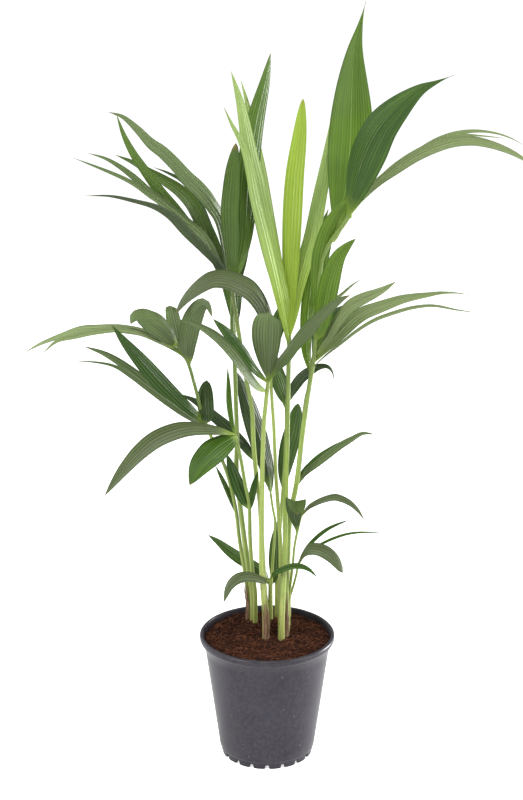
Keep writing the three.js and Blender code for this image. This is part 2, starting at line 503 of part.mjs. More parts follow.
/** The root ball: it fills the pot up to its surface, with a plain hole for every stalk. */
function soil() {
  const bottom = FLOOR_LEVEL + FLOOR + CLEARANCE;
  const ring = (radius, height) => evenShares(POT_SIDES).slice(1).map((share) => {
    const [x, y] = [radius * Math.sin(2 * Math.PI * share), -radius * Math.cos(2 * Math.PI * share)];
    return new THREE.Vector3(x, y, height ?? soilLevel(x, y));
  });
  const reach = THROAT_RADIUS - 2 * CLEARANCE;
  const rings = [
    ring(insideRadius(bottom) - 2 * CLEARANCE, bottom),
    ring(insideRadius(FLARE_LEVEL) - 2 * CLEARANCE, FLARE_LEVEL),
    ring(insideRadius(FLARE_LEVEL) + FLARE[0][0] - 2 * CLEARANCE, SHOULDER_LEVEL),
    ring(reach, THROAT_LEVEL),
  ];
  for (let i = SOIL_RINGS; i > 0; i--) rings.push(ring((reach * i) / SOIL_RINGS));
  rings.push(ring(1));
  let body = solidOf(loft(rings));
  for (const frond of FRONDS) body = body.subtract(stalk(frond, CLEARANCE));
  return body;
}

// ---------------------------------------------------------------- fronds

/** The curve of a frond's axis, from its buried end to its last leaflet. */
function axisCurve({ axis }) {
  const [x, y] = axis[0];
  return curveThrough([[x, y, STEM_END], ...axis]);
}

/** Radius of a frond's stalk at a share of its axis: thick at the foot, slender soon after. */
function stalkRadius([foot, top], share) {
  return foot + (top - foot) * share ** 0.6;
}

/** A frond's stalk and spine; with a clearance, the hole that it stands in. */
function stalk(frond, clearance = 0) {
  const curve = axisCurve(frond);
  const steps = Math.ceil(curve.getLength() / STEM_STEP);
  const stops = walk(curve, evenShares(steps), new THREE.Vector3(0, -1, 0));
  stops[0].place.z -= clearance;
  return solidOf(loft(stops.map((stop) => {
    const radius = stalkRadius(frond.girth, stop.share) + 1.2 * clearance;
    return evenShares(STEM_SIDES).slice(1).map((turn) => around(stop, radius, 2 * Math.PI * turn));
  })));
}

/** Share of a leaflet's full width at a share of its length: narrow root, pointed tip. */
function outline(share, { rise, fall }) {
  const widest = rise / (rise + fall);
  const shape = (share ** rise * (1 - share) ** fall) / (widest ** rise * (1 - widest) ** fall);
  return Math.max(shape, ROOT_SHARE * (1 - share));
}

/** One leaflet: a thin blade folded along its rib, which starts at the place given. */
function blade(root, leaf) {
  const curve = curveThrough([root.toArray(), ...leaf.rib]);
  const steps = THREE.MathUtils.clamp(Math.round(curve.getLength() / BLADE_STEP), ...BLADE_STEPS);
  const shares = evenShares(steps).map((share) => (1 - Math.cos(Math.PI * share)) / 2);
  const [upper, lower] = [[], []];
  for (const { share, place, up, side } of walk(curve, shares, vector(leaf.face))) {
    const half = Math.max(leaf.width * outline(share, leaf), TIP_WIDTH) / 2;
    const row = [-1, 0, 1].map((across) => place.clone()
      .addScaledVector(side, across * half).addScaledVector(up, -Math.abs(across) * half * FOLD));
    const thickness = [BLADE_EDGE, BLADE, BLADE_EDGE];
    upper.push(row.map((point, j) => point.clone().addScaledVector(up, thickness[j] / 2)));
    lower.push(row.map((point, j) => point.clone().addScaledVector(up, -thickness[j] / 2)));
  }
  return solidOf(sheet(upper, lower));
}

/** A whole frond: the stalk with every leaflet grown from it. */
function frondSolid(frond) {
  const curve = axisCurve(frond);
  const length = curve.getLength();
  let body = stalk(frond);
  for (const leaf of frond.leaflets) {
    body = body.add(blade(curve.getPointAt(1 - Math.max(leaf.down, 1) / length), leaf));
  }
  return body;
}

/** A dry husk: a thin sleeve round part of a stalk, narrowing to its torn upper end. */
function huskSolid({ frond: name, facing, height, spread }) {
  const frond = FRONDS.find((each) => each.name === name);
  const curve = axisCurve(frond);
  const length = curve.getLength();
  const [x, y] = frond.axis[0];
  const start = (soilLevel(x, y) + CLOD - STEM_END) / length;
  const shares = evenShares(HUSK_STEPS).map((share) => start + (share * height) / length);
  const grids = [[], []];
  walk(curve, shares, vector(facing)).forEach((stop, i) => {
    const open = THREE.MathUtils.degToRad(spread) * (1 - 0.75 * (i / HUSK_STEPS) ** 2);
    const inner = stalkRadius(frond.girth, stop.share) + HUSK_CLEARANCE;
    [inner + HUSK, inner].forEach((radius, face) => {
      grids[face].push(evenShares(5).map((step) => around(stop, radius, open * (step - 0.5))));
    });
  });
  return solidOf(sheet(...grids));
}

// ---------------------------------------------------------------- assembly

const palm = new THREE.Group();

/** Adds a solid to the palm as a named mesh with a material of its own. */
function place(name, solid, look) {
  const material = new THREE.MeshStandardMaterial({ metalness: 0, ...look });
  const mesh = new THREE.Mesh(geometryFrom(solid), material);
  mesh.name = name;
  palm.add(mesh);
}

place('pot', pot(), { color: 0x3a3b42, roughness: 0.42 });
place('soil', soil(), { color: 0x3a2320, roughness: 0.95 });
for (const frond of FRONDS) place(frond.name, frondSolid(frond), TONES[frond.tone]);
for (const husk of HUSKS) place(husk.name, huskSolid(husk), { color: 0x9a7048, roughness: 0.8 });

export default palm;
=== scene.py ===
"""Looks of a young kentia-type palm in a round nursery pot.

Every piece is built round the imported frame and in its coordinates: +Z up, the
front view along +Y with +X to the right. Places and sizes of the plant and the
pot are in millimetres until a mesh is made, which is in metres.
"""
import logging
import math
import random
from dataclasses import dataclass
from enum import Enum
from typing import Iterable, Sequence

import bpy
import numpy as np
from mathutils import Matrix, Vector, noise


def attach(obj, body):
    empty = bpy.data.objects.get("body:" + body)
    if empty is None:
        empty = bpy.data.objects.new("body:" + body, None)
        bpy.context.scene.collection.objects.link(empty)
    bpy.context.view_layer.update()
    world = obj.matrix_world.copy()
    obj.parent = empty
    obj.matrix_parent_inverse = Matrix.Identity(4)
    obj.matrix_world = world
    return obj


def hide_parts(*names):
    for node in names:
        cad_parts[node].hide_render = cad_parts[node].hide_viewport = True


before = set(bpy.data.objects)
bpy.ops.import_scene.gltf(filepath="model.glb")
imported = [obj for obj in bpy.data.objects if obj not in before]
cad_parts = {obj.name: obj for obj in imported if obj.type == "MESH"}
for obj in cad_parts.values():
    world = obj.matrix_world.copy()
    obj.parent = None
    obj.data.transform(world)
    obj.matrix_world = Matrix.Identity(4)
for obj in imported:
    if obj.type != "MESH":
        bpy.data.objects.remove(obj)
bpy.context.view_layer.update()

log = logging.getLogger("potted_palm")

MM = 0.001
BODY = "root"
# A leaflet's seed is a whole number of these steps, so that it is the same all over its blade.
SEED_STEPS = 64
# The length that a vector is taken to have at the least.
TINY = 1e-9

Place = tuple[float, float, float]
Colour = tuple[float, float, float]
Socket = bpy.types.NodeSocket
Feed = Socket | float | tuple[float, ...] | None


# ---------------------------------------------------------------- plan of the plant


class Tone(Enum):
    """Leaf colours of the plant, each with the name of a record's material slot."""

    DEEP = "leaf_deep"
    MID = "leaf_mid"
    FRESH = "leaf_fresh"


class Form(Enum):
    """Outlines of a leaflet: how slowly it widens from its root and narrows to its tip."""

    LANCE = (0.72, 0.85)
    BLUNT = (0.7, 0.6)
    TAILED = (1.25, 1.75)
    SWEPT = (0.9, 1.9)
    OVAL = (0.9, 0.35)


class PaintedLightAndWarmth(Enum):
    """Ways a leaflet's colour differs from its frond's: its painted light or shade, and its shares
    of painted pale sheen, painted dusky shade and its own warm olive.
    """

    # Each value: painted light or shade, painted pale sheen, painted dusky shade, own warm share.
    PLAIN = (0.0, 0.0, 0.0, 0.0)
    SHADE = (-0.45, 0.0, 0.0, 0.0)
    SOFT = (-0.15, 0.25, 0.25, 0.0)
    LUSH = (0.15, 0.0, 0.0, 0.35)
    LIT = (0.55, 0.0, 0.0, 0.0)
    BRIGHT = (0.8, 0.0, 0.0, 0.45)
    PALE = (0.5, 0.6, 0.0, 0.15)
    DUSKY = (-0.1, 0.12, 0.85, 0.0)
    DARK = (-0.6, 0.0, 0.4, 0.0)
    OLIVE = (-0.15, 0.0, 0.0, 0.25)


@dataclass(frozen=True)
class Leaflet:
    """One leaflet: it leaves its axis `down` below the axis' end and follows its rib."""

    down: float
    width: float
    face: Place
    rib: tuple[Place, ...]
    form: Form = Form.LANCE
    look: PaintedLightAndWarmth = PaintedLightAndWarmth.PLAIN


@dataclass(frozen=True)
class FrondPlan:
    """A frond: its CAD node, tone, radii at foot and top, axis and leaflets."""

    node: str
    tone: Tone
    girth: tuple[float, float]
    axis: tuple[Place, ...]
    leaflets: tuple[Leaflet, ...]


# A leaflet's look paints light or shade on it, with painted sheen and shade and its own warm share.
FRONDS: tuple[FrondPlan, ...] = (
    FrondPlan(
        "frond_upper_left", Tone.DEEP, girth=(4.8, 2.6),
        axis=((-20, 48, 190), (-21, 47, 223), (-26, 45, 255), (-32, 42, 306), (-40, 38, 380),
              (-43, 36, 415), (-42, 35, 462), (-43, 34, 510), (-45, 32, 580), (-48, 30, 625),
              (-47, 27, 663), (-49, 24, 689)),
        leaflets=(
            Leaflet(5, 22, (0.3, -0.8, 0.5), ((-59, 22, 767), (-72, 12, 799), (-87, 3, 821),
                     (-102, -6, 838), (-119, -15, 860), (-135, -23, 878), (-150, -30, 891),
                     (-167, -37, 911), (-185, -43, 928), (-203, -47, 935)), look=PaintedLightAndWarmth.PALE),
            Leaflet(0, 17, (0.5, -0.8, 0.3), ((-77, 45, 730), (-104, 49, 759), (-125, 52, 785),
                     (-145, 55, 809), (-163, 58, 834), (-178, 60, 856), (-191, 63, 881),
                     (-201, 65, 909)), look=PaintedLightAndWarmth.LIT),
            Leaflet(12, 9, (0.3, -0.6, 0.7), ((-83, 0, 753), (-109, -12, 783), (-134, -22, 807),
                     (-153, -30, 822), (-168, -38, 836), (-183, -45, 847), (-203, -52, 858),
                     (-225, -60, 869), (-248, -68, 880)), look=PaintedLightAndWarmth.PALE),
            Leaflet(8, 15, (0.3, -0.6, 0.7), ((-80, 30, 746), (-110, 31, 774), (-134, 33, 794),
                     (-157, 35, 812), (-176, 37, 830), (-196, 38, 845), (-216, 39, 856),
                     (-238, 40, 862)), look=PaintedLightAndWarmth.PALE),
            Leaflet(20, 20, (0.2, -0.8, 0.6), ((-66, 48, 720), (-81, 58, 746), (-93, 70, 770),
                     (-104, 80, 787), (-120, 92, 801), (-141, 104, 812), (-162, 114, 821),
                     (-183, 123, 831), (-208, 128, 840)), look=PaintedLightAndWarmth.OLIVE),
            Leaflet(24, 18, (0.1, 0.7, 0.7), ((-61, 0, 715), (-81, -22, 747), (-103, -42, 776),
                     (-122, -60, 802), (-143, -78, 820), (-169, -95, 832), (-199, -112, 842),
                     (-231, -127, 845)), look=PaintedLightAndWarmth.DUSKY),
            Leaflet(30, 12, (0.3, -0.6, 0.7), ((-66, 75, 720), (-80, 92, 750), (-95, 110, 781),
                     (-114, 126, 803), (-137, 138, 813), (-157, 148, 818))),
            Leaflet(40, 18, (0.2, -0.4, 0.9), ((-57, 95, 686), (-71, 134, 706), (-86, 155, 729))),
        ),
    ),
    FrondPlan(
        "frond_upright", Tone.DEEP, girth=(4.6, 2.6),
        axis=((-1, 12, 190), (-3, 13, 226), (-7, 15, 302), (-10, 16, 371), (-15, 16, 412),
              (-19, 14, 462), (-21, 12, 511), (-29, 8, 558), (-38, 4, 620), (-45, 0, 671),
              (-47, -3, 694)),
        leaflets=(
            Leaflet(0, 25, (-0.3, -0.9, 0.2), ((-48, -12, 727), (-50, -16, 761), (-51, -19, 797),
                     (-49, -21, 827), (-46, -23, 857), (-41, -25, 890)),
                    form=Form.BLUNT, look=PaintedLightAndWarmth.OLIVE),
            Leaflet(3, 31, (0.3, -0.9, 0.2), ((-37, -4, 725), (-30, -1, 768), (-27, 4, 814),
                     (-22, 11, 866), (-14, 18, 914), (-3, 26, 960), (4, 31, 997)), look=PaintedLightAndWarmth.LIT),
            Leaflet(20, 16, (0.1, -0.8, 0.5), ((-33, 50, 726), (-24, 120, 793))),
            Leaflet(262, 18, (0.3, -0.7, 0.6), ((-24, 30, 441), (-34, 46, 451), (-45, 54, 460),
                     (-56, 57, 471), (-69, 59, 482), (-82, 61, 493), (-99, 62, 506),
                     (-120, 63, 516)),
                    look=PaintedLightAndWarmth.DARK),
        ),
    ),
    FrondPlan(
        "frond_young", Tone.FRESH, girth=(4.8, 3),
        axis=((20, -6, 190), (21, -6, 228), (25, -6, 309), (25, -3, 360), (26, 4, 417),
              (27, 9, 456), (28, 12, 518), (29, 11, 587), (30, 10, 619)),
        leaflets=(
            Leaflet(18, 26, (0.3, -0.9, 0.2), ((23, 6, 662), (15, 4, 698), (5, 2, 742),
                     (-5, -1, 788), (-13, -4, 829), (-22, -7, 870), (-29, -10, 910),
                     (-36, -13, 944), (-47, -16, 982)), look=PaintedLightAndWarmth.PALE),
            Leaflet(10, 17, (0.3, -0.9, 0.2), ((25, 14, 653), (18, 15, 694), (9, 17, 742),
                     (-1, 21, 799), (-10, 25, 852), (-19, 29, 896), (-27, 32, 932), (-35, 35, 961)),
                    look=PaintedLightAndWarmth.PALE),
            Leaflet(12, 15, (0.2, -0.9, 0.3), ((21, -4, 651), (9, -10, 708), (-4, -16, 765),
                     (-16, -22, 816), (-24, -28, 862), (-34, -33, 893), (-46, -37, 917),
                     (-56, -41, 940)), look=PaintedLightAndWarmth.PALE),
            Leaflet(0, 26, (0, -1, 0.1), ((30, 12, 667), (31, 11, 723), (33, 9, 786), (36, 6, 840),
                     (42, 3, 894), (46, 0, 943)), form=Form.BLUNT, look=PaintedLightAndWarmth.BRIGHT),
            Leaflet(4, 22, (-0.3, -0.9, 0.3), ((35, 14, 646), (40, 20, 679), (49, 24, 717),
                     (59, 29, 753), (68, 35, 800), (78, 44, 852), (84, 52, 891), (87, 57, 919)),
                    look=PaintedLightAndWarmth.PALE),
            Leaflet(8, 18, (0, -0.7, 0.7), ((29, 50, 656), (33, 100, 713), (40, 141, 771))),
        ),
    ),
    FrondPlan(
        "frond_tall_right", Tone.MID, girth=(4.6, 2.8),
        axis=((26, 3, 190), (26, 4, 231), (28, 3, 307), (32, 3, 358), (41, 2, 412), (47, 1, 471),
              (54, 0, 529), (57, -1, 551), (62, -3, 587), (65, -5, 616), (70, -10, 713),
              (75, -12, 738), (85, -16, 759), (99, -20, 779), (109, -22, 796)),
        leaflets=(
            Leaflet(46, 59, (-0.1, -1, 0.15), ((92, -8, 768), (98, 0, 796), (104, 3, 834),
                     (108, 6, 881), (109, 9, 920), (110, 16, 964), (113, 22, 1002), (120, 28, 1035),
                     (127, 33, 1064)), form=Form.TAILED, look=PaintedLightAndWarmth.OLIVE),
            Leaflet(6, 51, (-0.3, -0.9, 0.4), ((107, -40, 811), (115, -60, 852), (125, -78, 890),
                     (140, -97, 925), (161, -115, 954), (185, -133, 979), (206, -145, 992),
                     (227, -155, 1003)), form=Form.TAILED),
            Leaflet(0, 19, (-0.3, -0.6, 0.7), ((122, -18, 814), (143, -15, 836), (168, -10, 854),
                     (192, -5, 869), (217, -1, 880), (241, 3, 887), (267, 8, 888), (290, 12, 883),
                     (313, 16, 874), (333, 19, 863), (350, 21, 850)),
                    form=Form.BLUNT, look=PaintedLightAndWarmth.PALE),
            Leaflet(7, 11, (-0.3, -0.4, 0.85), ((129, -2, 817), (151, 8, 837), (175, 18, 854),
                     (199, 28, 869), (225, 38, 882), (251, 46, 889), (277, 54, 890), (302, 60, 886),
                     (324, 64, 878), (343, 66, 867)), look=PaintedLightAndWarmth.PALE),
            Leaflet(10, 8, (-0.3, -0.4, 0.85), ((138, 5, 826), (164, 15, 850), (194, 25, 868),
                     (228, 35, 882), (257, 42, 887), (286, 48, 884), (316, 54, 879)),
                    look=PaintedLightAndWarmth.PALE),
            Leaflet(192, 28, (-0.2, -0.9, 0.4), ((69, -22, 636), (75, -30, 673), (80, -38, 703),
                     (86, -46, 728), (93, -52, 746), (103, -57, 760), (114, -62, 772)),
                    look=PaintedLightAndWarmth.LUSH),
            Leaflet(242, 20, (0.2, -0.9, 0.4), ((53, 8, 598), (54, 16, 638), (57, 23, 671),
                     (61, 31, 704), (67, 40, 732), (73, 49, 756), (82, 56, 782)), look=PaintedLightAndWarmth.LUSH),
            Leaflet(215, 19, (-0.4, -0.8, 0.5), ((80, -14, 623), (94, -26, 654), (108, -38, 674),
                     (124, -48, 687), (139, -56, 696), (153, -62, 705), (167, -68, 716)),
                    look=PaintedLightAndWarmth.PALE),
            Leaflet(205, 20, (-0.4, -0.8, 0.5), ((74, 8, 615), (87, 14, 632), (101, 22, 645),
                     (117, 30, 655)), look=PaintedLightAndWarmth.LIT),
            Leaflet(225, 21, (-0.4, -0.7, 0.6), ((76, -1, 602), (92, 1, 619), (106, 3, 634),
                     (118, 5, 645), (131, 7, 653), (147, 10, 658), (163, 13, 663), (180, 16, 668),
                     (197, 18, 671), (215, 20, 673), (236, 22, 675), (260, 25, 673),
                     (286, 28, 667)),
                    form=Form.SWEPT, look=PaintedLightAndWarmth.PALE),
            Leaflet(231, 6, (-0.4, -0.7, 0.6), ((78, -20, 600), (96, -42, 623), (116, -65, 648),
                     (138, -88, 670), (163, -110, 687), (187, -130, 700), (211, -147, 707),
                     (238, -158, 705), (264, -165, 703)), look=PaintedLightAndWarmth.PALE),
            Leaflet(167, 5, (-0.3, -0.7, 0.6), ((72, 5, 644), (84, 22, 660), (100, 34, 669),
                     (115, 42, 680), (127, 48, 686)), look=PaintedLightAndWarmth.PALE),
            Leaflet(142, 22, (-0.2, -0.6, 0.8), ((72, 20, 658), (81, 60, 674), (92, 95, 692),
                     (102, 120, 705))),
            Leaflet(165, 23, (0.1, -0.9, 0.3), ((69, -12, 719), (73, -16, 749), (79, -18, 772),
                     (88, -22, 792), (98, -27, 808), (110, -33, 823)), look=PaintedLightAndWarmth.LUSH),
        ),
    ),
    FrondPlan(
        "frond_front", Tone.MID, girth=(5, 2.8),
        axis=((-2, -6, 190), (-3, -6, 216), (-6, -5, 255), (-8, -3, 309), (-7, -6, 421),
              (-5, -9, 494), (-3, -11, 519), (0, -14, 551), (2, -15, 563)),
        leaflets=(
            Leaflet(0, 27, (-0.4, -0.6, 0.7), ((10, -24, 584), (23, -36, 605), (36, -48, 628),
                     (53, -62, 652), (68, -74, 672), (82, -84, 688), (95, -91, 699),
                     (106, -97, 706)),
                    look=PaintedLightAndWarmth.SOFT),
            Leaflet(2, 40, (0, -0.95, 0.3), ((0, -26, 587), (-1, -36, 612), (-1, -44, 637),
                     (0, -48, 658), (2, -44, 667)), form=Form.OVAL, look=PaintedLightAndWarmth.SOFT),
            Leaflet(4, 22, (0.5, -0.6, 0.6), ((-13, -18, 577), (-27, -34, 603), (-43, -50, 630),
                     (-57, -64, 650), (-71, -78, 668)), look=PaintedLightAndWarmth.SHADE),
            Leaflet(18, 25, (0.4, -0.6, 0.7), ((-14, -33, 564), (-27, -45, 588), (-41, -60, 614),
                     (-58, -78, 638), (-76, -97, 658), (-95, -116, 674), (-116, -136, 685),
                     (-134, -150, 692)), form=Form.SWEPT, look=PaintedLightAndWarmth.SOFT),
        ),
    ),
    FrondPlan(
        "frond_arching", Tone.MID, girth=(4, 2.1),
        axis=((19, 12, 190), (18, 12, 215), (19, 9, 291), (16, 8, 356), (12, 12, 414), (9, 18, 484),
              (5, 22, 546), (5, 24, 591)),
        leaflets=(
            Leaflet(0, 31, (0.4, -0.7, 0.55), ((3, 14, 611), (4, 6, 635), (0, -3, 653),
                     (-8, -12, 673), (-21, -19, 691), (-36, -23, 701), (-50, -26, 708),
                     (-64, -27, 710), (-76, -28, 708), (-89, -29, 700), (-103, -30, 688),
                     (-114, -31, 675), (-123, -32, 659)), look=PaintedLightAndWarmth.DUSKY),
            Leaflet(5, 20, (-0.1, -0.5, 0.8), ((16, 80, 621), (24, 134, 632))),
            Leaflet(10, 18, (0.2, -0.5, 0.8), ((1, 50, 592), (-5, 100, 595), (-7, 127, 600))),
        ),
    ),
    FrondPlan(
        "frond_left", Tone.MID, girth=(3.2, 2.3),
        axis=((-26, 53, 190), (-26, 52, 209), (-31, 50, 248), (-39, 46, 304), (-43, 42, 344),
              (-49, 38, 380), (-60, 32, 423), (-86, 22, 490), (-99, 14, 546), (-108, 8, 581),
              (-121, 2, 606), (-128, 0, 615)),
        leaflets=(
            Leaflet(45, 17, (0.3, -0.5, 0.8), ((-114, 6, 592), (-129, 6, 604), (-148, 7, 615),
                     (-168, 10, 624), (-188, 14, 627), (-210, 22, 627), (-234, 33, 623),
                     (-258, 42, 618), (-284, 52, 606), (-308, 63, 593), (-326, 74, 580),
                     (-338, 82, 569)), look=PaintedLightAndWarmth.PALE),
            Leaflet(4, 11, (0.3, -0.5, 0.8), ((-128, -14, 609), (-150, -22, 624), (-172, -30, 636),
                     (-198, -38, 643), (-228, -46, 642), (-254, -52, 637), (-279, -57, 631),
                     (-298, -60, 614)), look=PaintedLightAndWarmth.PALE),
            Leaflet(10, 34, (0.4, -0.7, 0.5), ((-129, -10, 622), (-141, -18, 638), (-154, -26, 650),
                     (-165, -34, 658), (-175, -40, 660), (-181, -44, 651)), look=PaintedLightAndWarmth.SOFT),
            Leaflet(18, 20, (0.2, -0.7, 0.6), ((-124, 16, 627), (-130, 28, 651), (-134, 50, 648)),
                    look=PaintedLightAndWarmth.SOFT),
            Leaflet(45, 28, (-0.1, -0.9, 0.3), ((-109, -8, 608), (-104, -18, 639), (-93, -30, 667),
                     (-82, -38, 676), (-73, -46, 661)), look=PaintedLightAndWarmth.SOFT),
            Leaflet(135, 23, (0.1, -0.9, 0.4), ((-105, -5, 515), (-125, -14, 538), (-147, -26, 567),
                     (-168, -40, 598), (-188, -53, 628), (-204, -62, 654)), look=PaintedLightAndWarmth.SHADE),
            Leaflet(140, 17, (0.4, -0.5, 0.7), ((-106, 14, 506), (-130, 20, 524), (-158, 27, 541),
                     (-181, 34, 558), (-205, 41, 573), (-227, 47, 583), (-252, 53, 589)),
                    look=PaintedLightAndWarmth.SOFT),
            Leaflet(146, 16, (0.2, 0.6, 0.8), ((-105, -24, 513), (-128, -48, 540), (-153, -70, 568),
                     (-176, -90, 594), (-197, -105, 613), (-222, -116, 622), (-250, -126, 626)),
                    look=PaintedLightAndWarmth.SOFT),
            Leaflet(138, 23, (0, -0.95, 0.2), ((-83, 12, 499), (-85, 20, 522), (-83, 26, 549)),
                    form=Form.BLUNT, look=PaintedLightAndWarmth.DARK),
            Leaflet(290, 8, (-0.3, -0.8, 0.4), ((-55, 40, 379), (-63, 38, 399), (-72, 36, 420))),
        ),
    ),
    FrondPlan(
        "frond_low_left", Tone.MID, girth=(3.6, 2.4),
        axis=((-17, 34, 190), (-17, 32, 229), (-21, 25, 267), (-24, 14, 320), (-25, 6, 373),
              (-30, 4, 402), (-34, 2, 428), (-37, 0, 447), (-44, -4, 482)),
        leaflets=(
            Leaflet(0, 25, (0.3, -0.6, 0.7), ((-62, -18, 492), (-86, -34, 502), (-109, -52, 508),
                     (-131, -70, 508), (-150, -87, 504), (-168, -104, 494), (-183, -120, 482),
                     (-197, -138, 469), (-212, -160, 453)), look=PaintedLightAndWarmth.DUSKY),
            Leaflet(3, 37, (-0.3, -0.9, 0.4), ((-52, -18, 479), (-67, -34, 475), (-82, -46, 465),
                     (-94, -56, 452), (-105, -64, 430))),
            Leaflet(120, 10, (-0.2, -0.9, 0.3), ((-20, 1, 396), (-13, 4, 424)), look=PaintedLightAndWarmth.SHADE),
            Leaflet(118, 18, (0.2, -0.9, 0.3), ((-34, 5, 386), (-45, 14, 413), (-56, 22, 443)),
                    look=PaintedLightAndWarmth.SHADE),
            Leaflet(3, 8, (-0.2, -0.9, 0.3), ((-48, -2, 494), (-52, 0, 522), (-53, 2, 550),
                     (-54, 3, 574))),
        ),
    ),
    FrondPlan(
        "frond_back_slender", Tone.DEEP, girth=(2.6, 1.7),
        axis=((6, 48, 190), (6, 43, 240), (8, 32, 281), (10, 24, 315), (11, 22, 344), (8, 24, 360),
              (4, 28, 388)),
        leaflets=(
            Leaflet(0, 29, (0.3, -0.8, 0.5), ((0, 33, 418), (-9, 36, 455), (-20, 40, 489),
                     (-29, 43, 517), (-37, 46, 540), (-43, 48, 555)), look=PaintedLightAndWarmth.DARK),
            Leaflet(6, 14, (0, -0.7, 0.7), ((1, 60, 420), (-7, 100, 450))),
        ),
    ),
    FrondPlan(
        "frond_back_middle", Tone.DEEP, girth=(3.4, 2.2),
        axis=((14, 60, 190), (14, 58, 245), (17, 52, 301), (21, 45, 365), (24, 40, 412),
              (26, 36, 473), (26, 33, 512)),
        leaflets=(
            Leaflet(130, 26, (0, -0.9, 0.3), ((24, 50, 408), (30, 54, 440), (37, 58, 468),
                     (43, 62, 503)), form=Form.BLUNT),
            Leaflet(0, 18, (-0.3, -0.7, 0.6), ((33, 36, 531), (43, 33, 548), (57, 30, 561),
                     (71, 29, 568), (83, 27, 568), (90, 25, 558), (90, 23, 543)),
                    form=Form.SWEPT, look=PaintedLightAndWarmth.DARK),
            Leaflet(2, 20, (0.2, -0.8, 0.5), ((19, 42, 532), (11, 52, 555), (9, 62, 574))),
            Leaflet(8, 16, (0, -0.6, 0.8), ((22, 70, 527), (14, 110, 543), (7, 134, 563))),
        ),
    ),
    FrondPlan(
        "frond_small_right", Tone.MID, girth=(2.5, 1.8),
        axis=((29, 45, 190), (30, 29, 285), (33, 18, 352), (38, 16, 395)),
        leaflets=(
            Leaflet(0, 12, (-0.4, -0.7, 0.6), ((51, 14, 417), (67, 11, 433), (83, 4, 449),
                     (99, -4, 465), (114, -11, 477), (129, -16, 487), (146, -20, 487)),
                    look=PaintedLightAndWarmth.SOFT),
            Leaflet(4, 8, (-0.4, -0.7, 0.6), ((48, 18, 416), (60, 22, 429), (74, 27, 440),
                     (90, 34, 449), (105, 40, 456))),
        ),
    ),
    FrondPlan(
        "frond_low_right", Tone.MID, girth=(2.4, 1.6),
        axis=((30, 20, 190), (31, 11, 234), (35, -5, 281), (38, -10, 320), (44, -14, 353),
              (50, -17, 381)),
        leaflets=(
            Leaflet(42, 27, (0, -0.95, 0.2), ((37, -26, 374), (38, -37, 396), (39, -52, 397),
                     (40, -66, 389)), form=Form.OVAL, look=PaintedLightAndWarmth.DARK),
            Leaflet(16, 12, (-0.2, -0.5, 0.85), ((55, -20, 380), (66, -23, 389), (79, -26, 396),
                     (92, -29, 400), (104, -31, 397), (115, -33, 391), (125, -35, 381),
                     (133, -37, 368)), look=PaintedLightAndWarmth.DUSKY),
        ),
    ),
    FrondPlan(
        "frond_lowest_right", Tone.MID, girth=(2.4, 1.6),
        axis=((31, 32, 190), (32, 26, 223), (35, 16, 240), (39, 10, 258), (42, 6, 275),
              (43, 4, 287)),
        leaflets=(
            Leaflet(0, 6.5, (-0.4, -0.7, 0.6), ((53, -1, 309), (61, 0, 320), (72, -2, 332),
                     (84, -4, 342), (98, -6, 350), (114, -8, 357))),
            Leaflet(3, 5.5, (-0.2, -0.4, 0.9), ((54, 10, 302), (71, 15, 309), (88, 20, 316),
                     (105, 24, 321), (123, 28, 323), (143, 32, 322), (164, 36, 319))),
            Leaflet(2, 20, (-0.2, -0.6, 0.8), ((50, -12, 311), (60, -18, 319), (73, -24, 320),
                     (84, -30, 316), (94, -35, 307), (104, -40, 291)),
                    form=Form.BLUNT, look=PaintedLightAndWarmth.DUSKY),
        ),
    ),
    FrondPlan(
        "frond_low_front", Tone.MID, girth=(2.3, 1.6),
        axis=((2, 26, 190), (3, 12, 231), (3, 1, 255), (3, -2, 265)),
        leaflets=(
            Leaflet(0, 17, (0.1, -0.6, 0.8), ((-7, -17, 272), (-23, -22, 279), (-37, -28, 280),
                     (-48, -32, 274), (-55, -36, 264), (-60, -40, 247)), look=PaintedLightAndWarmth.DUSKY),
            Leaflet(1, 10, (-0.1, -0.6, 0.8), ((9, -10, 278), (20, -16, 286), (34, -20, 293),
                     (47, -23, 294), (59, -25, 289), (69, -27, 279))),
        ),
    ),
    FrondPlan(
        "frond_low_back", Tone.DEEP, girth=(2.4, 1.6),
        axis=((6, 66, 190), (6, 65, 204), (5, 61, 228)),
        leaflets=(
            Leaflet(0, 18, (0.2, -0.7, 0.6), ((-7, 60, 249), (-22, 60, 260), (-37, 59, 270),
                     (-53, 59, 282), (-68, 59, 295), (-84, 58, 307))),
            Leaflet(1, 14, (0, -0.9, 0.3), ((10, 46, 246), (9, 41, 275), (10, 38, 306),
                     (14, 38, 336))),
        ),
    ),
    FrondPlan(
        "frond_rear_left", Tone.DEEP, girth=(3.6, 2.1),
        axis=((-20, 68, 190), (-21, 69, 202), (-32, 76, 293), (-41, 84, 363), (-43, 92, 438),
              (-44, 99, 495), (-45, 106, 556), (-46, 114, 608)),
        leaflets=(
            Leaflet(0, 15, (0.2, -0.5, 0.8), ((-51, 138, 628), (-57, 147, 653), (-68, 155, 676),
                     (-82, 162, 697), (-96, 168, 715))),
            Leaflet(3, 12, (0, -0.6, 0.8), ((-44, 134, 607), (-41, 152, 637), (-37, 169, 668))),
            Leaflet(10, 13, (0.3, -0.5, 0.8), ((-52, 126, 633), (-60, 133, 662), (-74, 138, 687),
                     (-90, 142, 706))),
            Leaflet(20, 13, (0, -0.5, 0.8), ((-45, 127, 606), (-45, 141, 638), (-44, 156, 673))),
        ),
    ),
    FrondPlan(
        "frond_rear_right", Tone.DEEP, girth=(3.6, 2.1),
        axis=((31, 64, 190), (31, 64, 203), (31, 68, 279), (34, 72, 330), (43, 78, 382),
